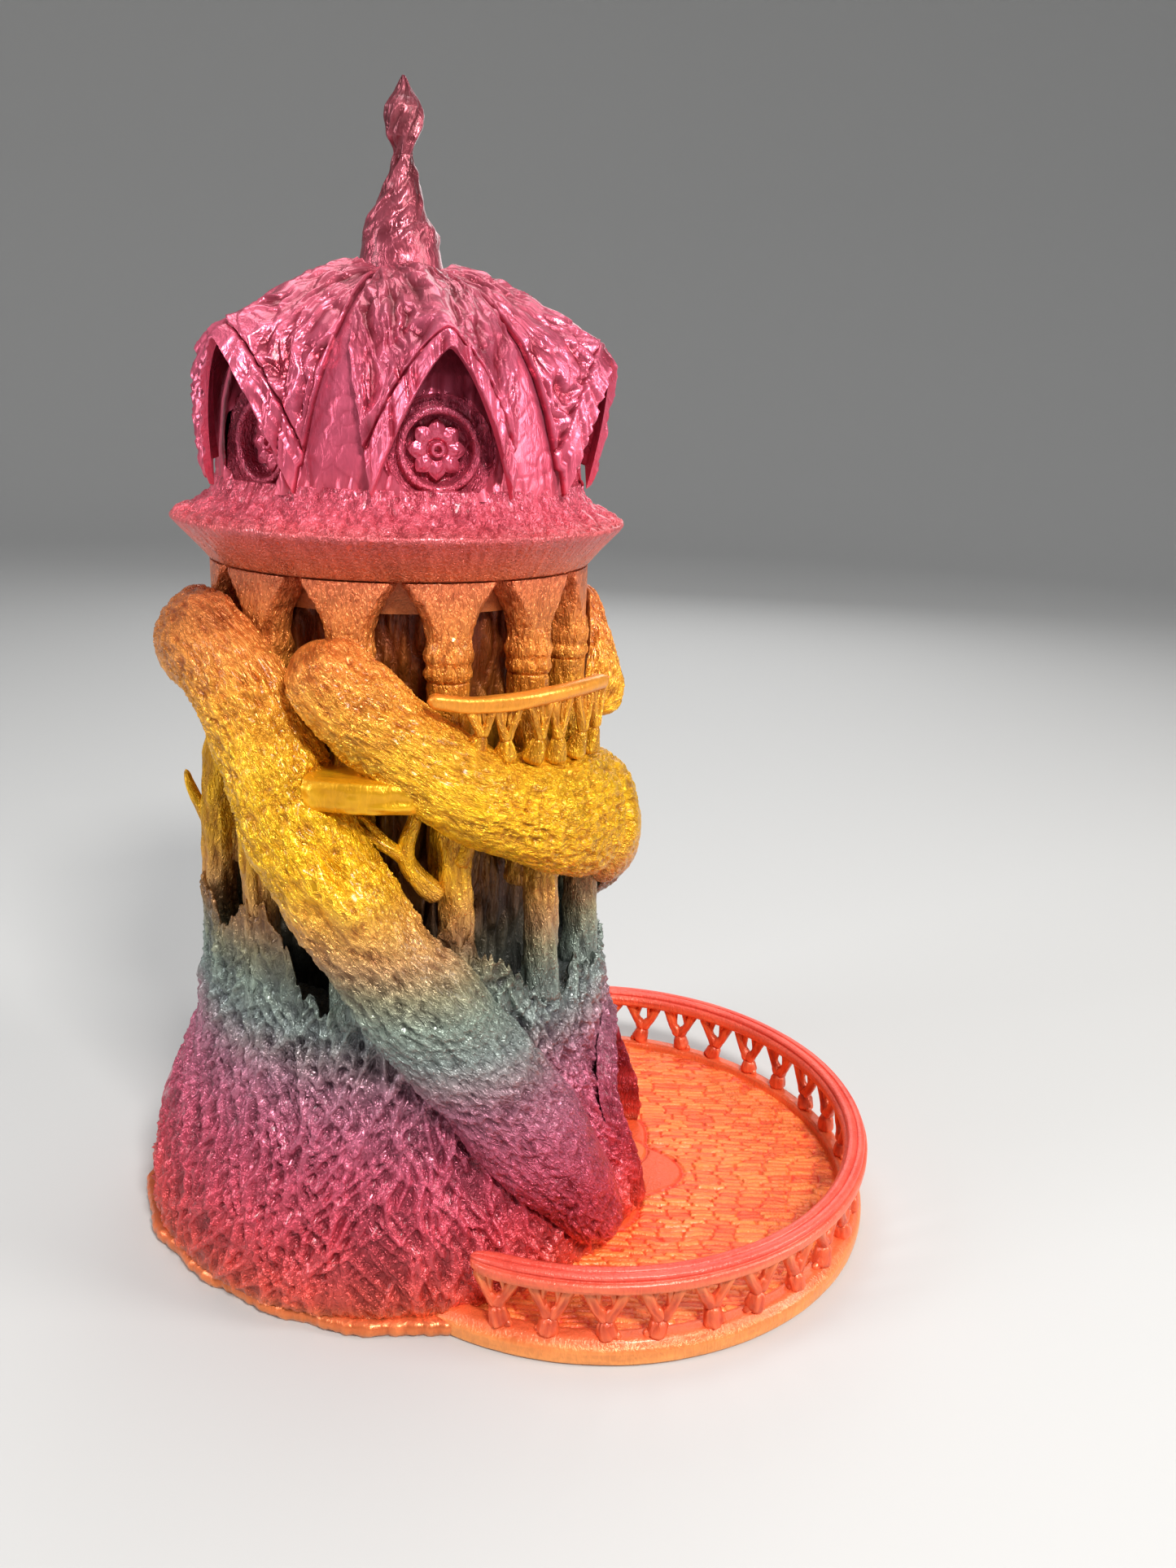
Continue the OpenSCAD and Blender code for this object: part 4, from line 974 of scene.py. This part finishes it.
# Little forked trees under the railing, each leaning one way or the other
TREES = 22
TREE_END = RAIL_END - 4
TREE_R = 69.0
trees = Skin()
top = RAIL_Z0 + 0.6
rng = np.random.default_rng(77)
for i in range(TREES):
    deg = -TREE_END + i * 2 * TREE_END / (TREES - 1)
    lean = rng.uniform(0.6, 1.5) * (1 if i % 2 else -1)
    mid = CURB_Z + rng.uniform(4.2, 5.6)
    stem = deg + 0.1 * lean
    trunk = [[TREE_R, deg - 0.8 * lean, CURB_Z - 0.5, 3.4], [TREE_R, deg - 0.35 * lean, CURB_Z + 1.6, 2.3],
             [RAIL_R, stem, mid, 1.9]]
    branch(trees, trunk, 600 + i, 26, 0.14, 2.6, on_tray)
    for d in (-1, 1):
        foot = [[TREE_R + 0.3 * d, deg - 0.8 * lean + 2.0 * d, CURB_Z - 0.3, 1.0],
                [TREE_R, deg - 0.5 * lean + 0.7 * d, CURB_Z + 1.3, 1.0],
                [RAIL_R, deg - 0.2 * lean, mid - 1, 1.0]]
        branch(trees, foot, 640 + 2 * i + d, 14, place=on_tray)
        limb = [[RAIL_R, stem + 0.1 * d, mid - 0.9, 1.65], [RAIL_R, stem + 1.0 * d, mid + 1.4, 1.5],
                [RAIL_R, stem + 1.9 * d, mid + 2.9, 1.3], [RAIL_R, deg + 3.9 * d, top, 1.6]]
        branch(trees, limb, 700 + 2 * i + d, 20, 0.12, 2.4, on_tray)
        twig = [[RAIL_R, stem + 1.3 * d, mid + 2.0, 0.8], [RAIL_R, deg + 1.5 * d, mid + 4.2, 0.7],
                [RAIL_R, deg + 1.2 * d + 0.3 * lean, top, 1.05]]
        branch(trees, twig, 800 + 2 * i + d, 14, place=on_tray)
trees.make("tray_trees", "tower", ["tray_posts"], "orange_tray", TRAY)

# ---------- doorway ----------
ARCH_N = 240
PASSAGE_N, FACE_N = 26, 18  # lines along the passage, then across the face of the frame
FRAME_DEEP = 2.4  # how far the frame stands out from the foot


def arch_line(half, spring):
    """Points [y, z] up one side, over the arch and down the other."""
    straight = max(2, int((spring - PLATE_Z) / 0.8))
    z = np.linspace(PLATE_Z - 0.3, spring, straight, endpoint=False)
    th = np.linspace(math.pi, 0, 80)
    left = np.stack([np.full(straight, -half), z], 1)
    over = np.stack([half * np.cos(th), spring + half * np.sin(th)], 1)
    right = np.stack([np.full(straight, half), z[::-1]], 1)
    return resample(np.vstack([left, over, right]), ARCH_N)


def on_round(radius, y):
    """How far out a point at y lies on a round wall."""
    return np.sqrt(np.clip(radius**2 - y**2, 1, None))


inner_line = arch_line(DOOR_W, SPRING_IN)
outer_line = arch_line(FRAME_W + 0.6, SPRING_OUT)
s = np.linspace(0, 1, ARCH_N)
cols, shade = [], []
for k in range(PASSAGE_N + FACE_N):
    face = k >= PASSAGE_N
    f = (k - PASSAGE_N + 1) / FACE_N if face else k / (PASSAGE_N - 1)
    yz = inner_line * (1 - f) + outer_line * f if face else inner_line
    out = FRAME_DEEP * (1 - 0.9 * f**2) + 0.5 * np.sin(f * 16) if face else FRAME_DEEP
    x_out = on_round(foot_r(np.clip(yz[:, 1], 4, 68)) + out, yz[:, 0])
    x_in = on_round(TUBE_R - 1, yz[:, 0])
    x = x_out if face else x_in + (x_out - x_in) * f
    rag = noise(s * 70, np.full(ARCH_N, k * 0.16), seed=901)
    rag = rag + 0.6 * noise(s * 150, np.full(ARCH_N, k * 0.3), seed=902)
    push = rag * (0.7 if k >= PASSAGE_N - 4 else 0.25)
    nrm = yz - np.array([0, SPRING_IN])
    nrm[yz[:, 1] < SPRING_IN, 1] = 0
    nrm /= np.linalg.norm(nrm, axis=1)[:, None] + 1e-9
    yz = yz + nrm * push[:, None] * (0.25 if face else 0.5)
    cols.append(np.stack([x + 0.35 * push * face, yz[:, 0], np.maximum(yz[:, 1], PLATE_Z - 0.3)], -1))
    # Painted shade: the passage is darker than the frame's face, and the rag's dips darker than its bumps
    shade.append(unit(0.45 + 0.4 * rag + (0.1 if face else -0.15)))
skin = Skin().grid(np.stack(cols, axis=1), np.stack(shade, axis=1))
skin.make("doorway_frame", "tower", ["door_frame"], "magenta_foot", BARK, flip=True)

# ---------- roof ----------
# [height, radius] of the drum and cone
DOME = np.array([
    [184, 42], [192, 41.5], [202, 40], [209, 38], [215, 35], [220, 30.5], [224, 25], [227, 18], [229.6, 9.4],
])
WINDOW_AZ = [20 + 60 * i for i in range(6)]
WINDOW_Z = 194.0
BORE = 11.2  # radius of the hole in the wall behind a window's frame
# [radius, height] of the brim
BRIM = [
    (28.5, SEAM_Z + 2.8), (28.5, SEAM_Z + 0.1), (43.6, SEAM_Z + 0.05), (44.2, SEAM_Z + 0.3), (46.4, 170.6),
    (49.2, 173.6), (51.8, 176.3), (52.3, 177.0), (52.1, 177.7), (51.0, 178.2), (48.6, 179.0), (46.0, 180.2),
    (43.9, 181.9), (42.5, 184.0), (42.0, 186.0), (39.8, 186.0),
]
BRIM_MID = 47


def dome_r(z):
    return np.interp(z, DOME[:, 0], DOME[:, 1])


def brim_wobble(x, y, z, aa, r):
    """Scratches on the lower band, and radial folds on top that turn into upright ones."""
    under = step(177.4, 176.4, z) * (r > 43.8)
    top = step(177.2, 178.2, z)
    side, front = BRIM_MID * np.sin(np.radians(aa)), BRIM_MID * np.cos(np.radians(aa))
    lean = np.radians(aa) + (z - 168) * 0.004
    sx, sy = BRIM_MID * np.sin(lean), BRIM_MID * np.cos(lean)
    scratch = noise(sx / 0.75, sy / 0.75, z / 7, 1001) + 0.5 * noise(sx / 0.35, sy / 0.35, z / 3, 1002)
    way = z - r
    warp = 0.6 * noise(side / 4, front / 4, way / 5, 1003)
    gap, own = cells(side / 3.0 + warp, front / 3.0 + warp, way / 6.4, seed=1004)
    cobble = step(0, 0.4, gap) + 0.8 * (own - 0.5)
    fold = 1 - 3 * np.abs(noise(side / 1.5 + warp, front / 1.5 + warp, way / 6, 1005))
    up = step(180.5, 184, z)
    g = (0.95 * cobble - 0.4) * (1 - 0.6 * up) + 0.5 * fold * (0.4 + up)
    lump = 0.35 * noise(x / 9, y / 9, z / 9, 1006)
    dr = under * 0.15 * scratch + top * (0.3 * g * (0.3 + up) + lump * 0.5)
    dz = top * (0.9 * g * (1 - up)) * step(52.4, 51.3, r)
    dr = dr + bell(z - 177, 0.7) * (r > 50) * 0.22 * noise(side / 2.2, front / 2.2, z / 2, 1007)
    # Painted shading: lighter on the scratches and cobbles, darker between them
    return dr, dz, unit(0.72 + under * 0.2 * scratch + top * 0.5 * (g - 0.02))


p, c = revolve(BRIM, compass(900), brim_wobble, 130)
Skin().grid(p, c, wrap_u=True, wrap_v=True).make("brim_bark", "roof", ["roof_brim"], "coral_brim", BARK)


def in_window(p, az):
    """Puts window-plane points (side, up, out) on the roof at an azimuth."""
    c, s = math.cos(math.radians(az)), math.sin(math.radians(az))
    return np.stack([p[..., 0] * c + p[..., 2] * s, p[..., 0] * s - p[..., 2] * c, WINDOW_Z + p[..., 1]], -1)


def from_window(p, az):
    """The window-plane points (side, up, out) of roof points."""
    c, s = math.cos(math.radians(az)), math.sin(math.radians(az))
    return np.stack([p[..., 0] * c + p[..., 1] * s, p[..., 2] - WINDOW_Z, p[..., 0] * s - p[..., 1] * c], -1)


# Drum and cone: a smooth wall crazed like dried mud, wrinkled round each window and open behind it
WALL_R = 40
line = resample(DOME[:, ::-1], 170)
aa, r = mesh(compass(620), line[:, 0])
z = np.broadcast_to(line[:, 1], r.shape)
x, y, _ = np.moveaxis(at(r, aa, z), -1, 0)
warp = 0.35 * noise(x / 4, y / 4, z / 4, 1101)
gap, own = cells(x / 8.5 + warp, y / 8.5 + warp, z / 9 + warp, seed=1102)
crack = step(0.10, 0.0, gap)
near = np.full(r.shape, 99.0)
for az in WINDOW_AZ:
    near = np.minimum(near, np.hypot(np.radians(turn_from(az, aa)) * WALL_R, (z - WINDOW_Z) * 0.85))
around = step(17, 11, near)
fold = noise(np.radians(aa) * WALL_R / 1.5 + 0.6 * noise(x / 3, y / 3, z / 3, 1103), z / 9, seed=1104)
foot_fold = step(192, 186, z) * fold
lump = 0.15 * noise(x / 12, y / 12, z / 12, 1105)
h = -0.15 * crack * (1 - around) + around * 0.75 * fold + 0.5 * foot_fold + lump
# Painted shade in the cracks, and lighter on the folds round each window
cav = unit(0.70 - 0.2 * crack * (1 - around) + 0.35 * around * fold + 0.2 * foot_fold)
p = at(r + h, aa, z)
keep = np.ones(r.shape, bool)
for az in WINDOW_AZ:
    q = from_window(p, az)
    d = np.hypot(q[..., 0], q[..., 1])
    inside = (d < BORE) & (q[..., 2] > 0)
    q[..., :2] *= np.where(inside, BORE / np.maximum(d, 1e-6), 1)[..., None]
    p = np.where(inside[..., None], in_window(q, az), p)
    keep &= ~inside
skin = Skin().grid(p, cav, wrap_u=True, keep=keep)
skin.make("drum_wall", "roof", ["roof_drum", "roof_cone"], "magenta_roof", SMOOTH)

# Windows: a wrinkled funnel, a raised ring and a rosette with a holed button. Rows of [radius, distance out]
FUNNEL = [
    (11.9, 40.6), (11.2, 39.9), (10.4, 38.6), (9.6, 37.9), (8.9, 37.6), (8.75, 38.6), (8.5, 39.2),
    (8.0, 39.4), (7.45, 39.2), (7.2, 38.6), (7.1, 37.2), (6.9, 35.8), (6.4, 35.3), (5.5, 35.15),
    (3, 35.1), (0.3, 35.1),
]
prof = resample(FUNNEL, 76)
for i, az in enumerate(WINDOW_AZ):
    th, rr = mesh(circle(190), prof[:, 0])
    wall = step(9.0, 10.6, rr)
    # The funnel's edge meets the curved wall of the drum
    side, up = rr * np.cos(th), rr * np.sin(th)
    surface = np.sqrt(np.clip(dome_r(WINDOW_Z + up) ** 2 - side**2, 0, None))
    out = prof[:, 1][None] * (1 - wall) + (surface - 0.2 - 2.2 * step(11.9, 9.6, rr)) * wall
    g = noise(side / 1.3, up / 6 + 3, seed=1200 + i)
    ridge = bell(rr - 8.1, 0.8)
    out = out + wall * 0.7 * g + ridge * 0.18 * noise(side / 1.2, up / 1.2, seed=1210 + i)
    # Painted shade in the throat of the funnel, lighter on its wrinkles and ring
    cav = unit(0.55 + 0.4 * wall * g + 0.35 * ridge - 0.3 * (rr < 7.2))
    skin = Skin().grid(in_window(np.stack([side, up, out], -1), az), cav, wrap_u=True)
    skin.make(f"window_frame_{i + 1}", "roof", [f"window_ring_{i + 1}"], "magenta_roof", BARK, flip=True)
    # The rosette: eight pointed petals round the button
    t, q = mesh(circle(160), np.linspace(0, 1, 60))
    petal = 1 - np.arccos(unit(np.abs(np.cos(4 * t)))) * 2 / math.pi
    edge = 4.7 + 1.5 * petal**0.85
    rr = np.where(q < 0.9, q / 0.9 * edge, edge)
    dome = 0.75 * np.sin(unit((rr - 1.6) / (edge - 1.6)) * math.pi) * (0.25 + 0.75 * petal)
    button = 1.15 * step(1.75, 1.35, rr) - 1.5 * step(0.85, 0.6, rr)
    ring_cut = -0.45 * bell(rr - 1.95, 0.25)
    side, up = rr * np.cos(t), rr * np.sin(t)
    out = 36.5 + dome + button + ring_cut + 0.08 * noise(side * 2, up * 2, seed=1230 + i)
    out = np.where(q > 0.9, out - (q - 0.9) * 14, out)
    # Painted shading: lighter on the domed petals and button, darker in the cut round the button
    cav = unit(0.5 + 0.5 * dome + 0.3 * button + 0.5 * ring_cut)
    skin = Skin().grid(in_window(np.stack([side, up, out], -1), az), cav, wrap_u=True)
    skin.make(f"rosette_carved_{i + 1}", "roof", [f"rosette_{i + 1}"], "magenta_roof", SMOOTH)

# Hoods: thick leaves of bark over the windows, each with a separate ribbed band along its mouth.
# Rows of [ridge radius, ridge height, hem height, half angle]
HOOD = np.array([
    [11.6, 231, 229.2, 27], [18.5, 228.6, 226, 28], [26, 225.5, 220, 28.3], [34, 221.8, 212, 26.5],
    [40.5, 218.8, 203, 23.8], [45, 216.3, 194, 21.6], [47.8, 213.5, 184.4, 19.2],
])
HOOD_N = 150
HOOD_ROW_MM = 8.2  # length of the ridge from one row to the next


def hood_row(s):
    """Values of the smooth curve through the rows of HOOD at s from 0 to 6."""
    i = np.clip(np.floor(s).astype(int), 0, len(HOOD) - 2)
    rows = (HOOD[np.clip(i + k, 0, len(HOOD) - 1)] for k in (-1, 0, 1, 2))
    return between(*rows, (s - i)[..., None])


def hood_surface(s, v, lift):
    """A hood's point: s runs along its ridge from the spire, v across from hem to hem, lift is outward."""
    ridge_r, ridge_z, hem_z, half = np.moveaxis(hood_row(s), -1, 0)
    t = np.abs(v)
    hem_r = dome_r(hem_z) + 0.35 + 1.2 * (hem_z < 190)
    far = (ridge_r > 30) * 1.0
    r = ridge_r + (hem_r - ridge_r) * t**1.5 + lift * (0.35 + 0.65 * (far + 0.2 * (1 - far)))
    z = ridge_z + (hem_z - ridge_z) * t**1.15 + lift * (0.35 * far + 0.8 * (1 - far))
    return r, np.sign(v) * half * t**0.85, z


s, v = mesh(np.linspace(0, 6, HOOD_N), np.linspace(-1, 1, HOOD_N))
band_at = 4.82 + 0.3 * np.abs(v)
band = step(0, 0.04, s - band_at)
cut = bell(s - band_at + 0.02, 0.055)
hem = step(1.0, 0.93, np.abs(v))
q = hood_row(s)
um, vm = s * HOOD_ROW_MM, v * np.maximum(np.radians(q[..., 3]) * q[..., 0], 4)
for i, az in enumerate(WINDOW_AZ):
    wave = 1.0 * noise(um / 7, vm / 5, seed=1300 + i)
    gap, own = cells(um / 9 + 0.3 * wave, vm / 2.3 + wave, seed=1310 + i)
    leaf = step(0, 0.5, gap) - 0.55 + 0.8 * (own - 0.5)
    tight = wrinkles(um, vm + 0.8 * wave, 8.5, 1.7, 1320 + i)
    ribs = 1 - 3 * np.abs(noise(um / 9, vm / 1.15 + 0.4 * wave, seed=1330 + i))
    keel = bell(v, 0.1) * step(0.4, 1.2, s)
    relief = (0.4 * leaf + 0.62 * tight + 0.6 * keel) * (1 - band) + band * (0.5 * ribs + 0.3)
    ragged = 0.9 * noise(um / 1.6, np.sign(v) * 3.0, seed=1340 + i) * (1 - hem)
    h = 1.5 + relief * hem - 1.25 * cut - 0.4 * bell(s - 6.0, 0.05) + 0.35 * (1 - band) * step(0.2, 0.5, s)
    r, da, z = hood_surface(s, v, np.clip(h, 0.15, 3))
    outer = at(r, az + da * (1 + 0.02 * ragged), z + 0.5 * ragged)
    r, da, z = hood_surface(s, v, 0.05)
    inner = at(r, az + da, z)
    # Painted shade in the hollows and in the cut before the band, lighter on the crests and hems
    cav = unit(0.55 + 0.55 * relief - 0.7 * cut + 0.4 * (1 - hem))
    flow = np.stack([0.35 * um, vm, 0.1 * um], axis=-1)
    # One sheet: over the outside, then back along the inside
    sheet = np.concatenate([outer, inner[:, ::-1]], axis=1)
    # The hood's underside is painted in shade
    cav = np.concatenate([cav, np.full((HOOD_N, HOOD_N), 0.3)], axis=1)
    flow = np.concatenate([flow, flow[:, ::-1]], axis=1)
    skin = Skin().grid(sheet, cav, wrap_v=True, flow=flow)
    skin.make(f"hood_bark_{i + 1}", "roof", [f"dormer_hood_{i + 1}"], "magenta_roof", LEAF, flip=True)
    # The sheet's open edge at the mouth is closed by a strip of its own
    k = np.linspace(0, 1, 5)[:, None, None]
    skin = Skin().grid(outer[-1][None] * (1 - k) + inner[-1][None] * k, 0.75)
    skin.make(f"hood_lip_{i + 1}", "roof", [], "magenta_roof", SMOOTH)

# Spire and finial: twisted folds, with the tip bent a little towards the tray. Rows of [radius, height]
SPIRE = [
    (9.9, SPIRE_Z - 0.6), (9.6, 231), (9.0, 233.5), (8.5, 236), (8.1, 238.4), (7.2, 240.4), (6.2, 242.6),
    (5.2, 245.4), (4.2, 248), (3.3, 250.6), (2.5, 252.8), (2.1, 254.2), (2.3, 255.6), (3.1, 257.6),
    (3.7, 259.8), (4.0, 262), (3.9, 263.6), (3.1, 265.2), (2.0, 266.8), (1.2, 268.2), (0.7, 269.2),
    (0.25, TIP_Z),
]
prof = resample(SPIRE, 230)
th = circle(120)[None]
r, z = prof[:, 0][:, None], prof[:, 1][:, None]
turn = (z - 229) * 0.11
c, d = np.cos(th + turn), np.sin(th + turn)
fold = noise(2.3 * c, 2.3 * d, z / 9, 1401) + 0.55 * noise(4.6 * c, 4.6 * d, z / 3.4, 1402)
slant = noise(1.4 * c, 1.4 * d, z / 2.2, 1403)
rough = step(232, 241, z)
g = rough * (0.75 * fold + 0.55 * slant) + (1 - rough) * 0.15 * noise(2 * c, 2 * d, z / 6, 1404)
r_out = r * (1 + (0.13 + 0.10 * step(251, 257, z)) * g) + 0.2 * rough * fold
ledge = 0.12 * bell(z - 239.2 - 0.9 * np.sin(th * 2), 0.8) * (r > 5)
r_out = np.maximum(r_out + ledge, 0.12)
bend = 0.9 * step(236, 256, z) * np.sin((z - 236) / 9) + 1.2 * step(258, 270, z)
x = r_out * np.cos(th) + bend
y = -r_out * np.sin(th) + 0.4 * np.sin(z / 6) * step(240, 250, z)
p = np.stack(np.broadcast_arrays(x, y, z), -1)
# Painted shade in the folds, lighter on their crests
cav = unit(0.55 + 0.5 * g)
half = int(np.searchsorted(prof[:, 1], FINIAL_Z))
skin = Skin().grid(p[: half + 1], cav[: half + 1], wrap_v=True)
skin.make("spire_bark", "roof", ["spire"], "wine_spire", LEAF)
skin = Skin().grid(p[half:], cav[half:], wrap_v=True, cap=True)
skin.make("finial_bark", "roof", ["finial"], "wine_spire", LEAF)

# ---------- hidden parts keep their CAD shape ----------
HIDDEN = [
    "drop_tube", "baffle_upper", "baffle_middle", "baffle_lower", "seat_ring", "roof_spigot", "roof_deck",
]
for node_name in [*HIDDEN, "exit_ramp"]:
    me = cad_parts[node_name].data
    me.materials.clear()
    me.materials.append(SHADED_INSIDE if node_name in HIDDEN else TRAY)
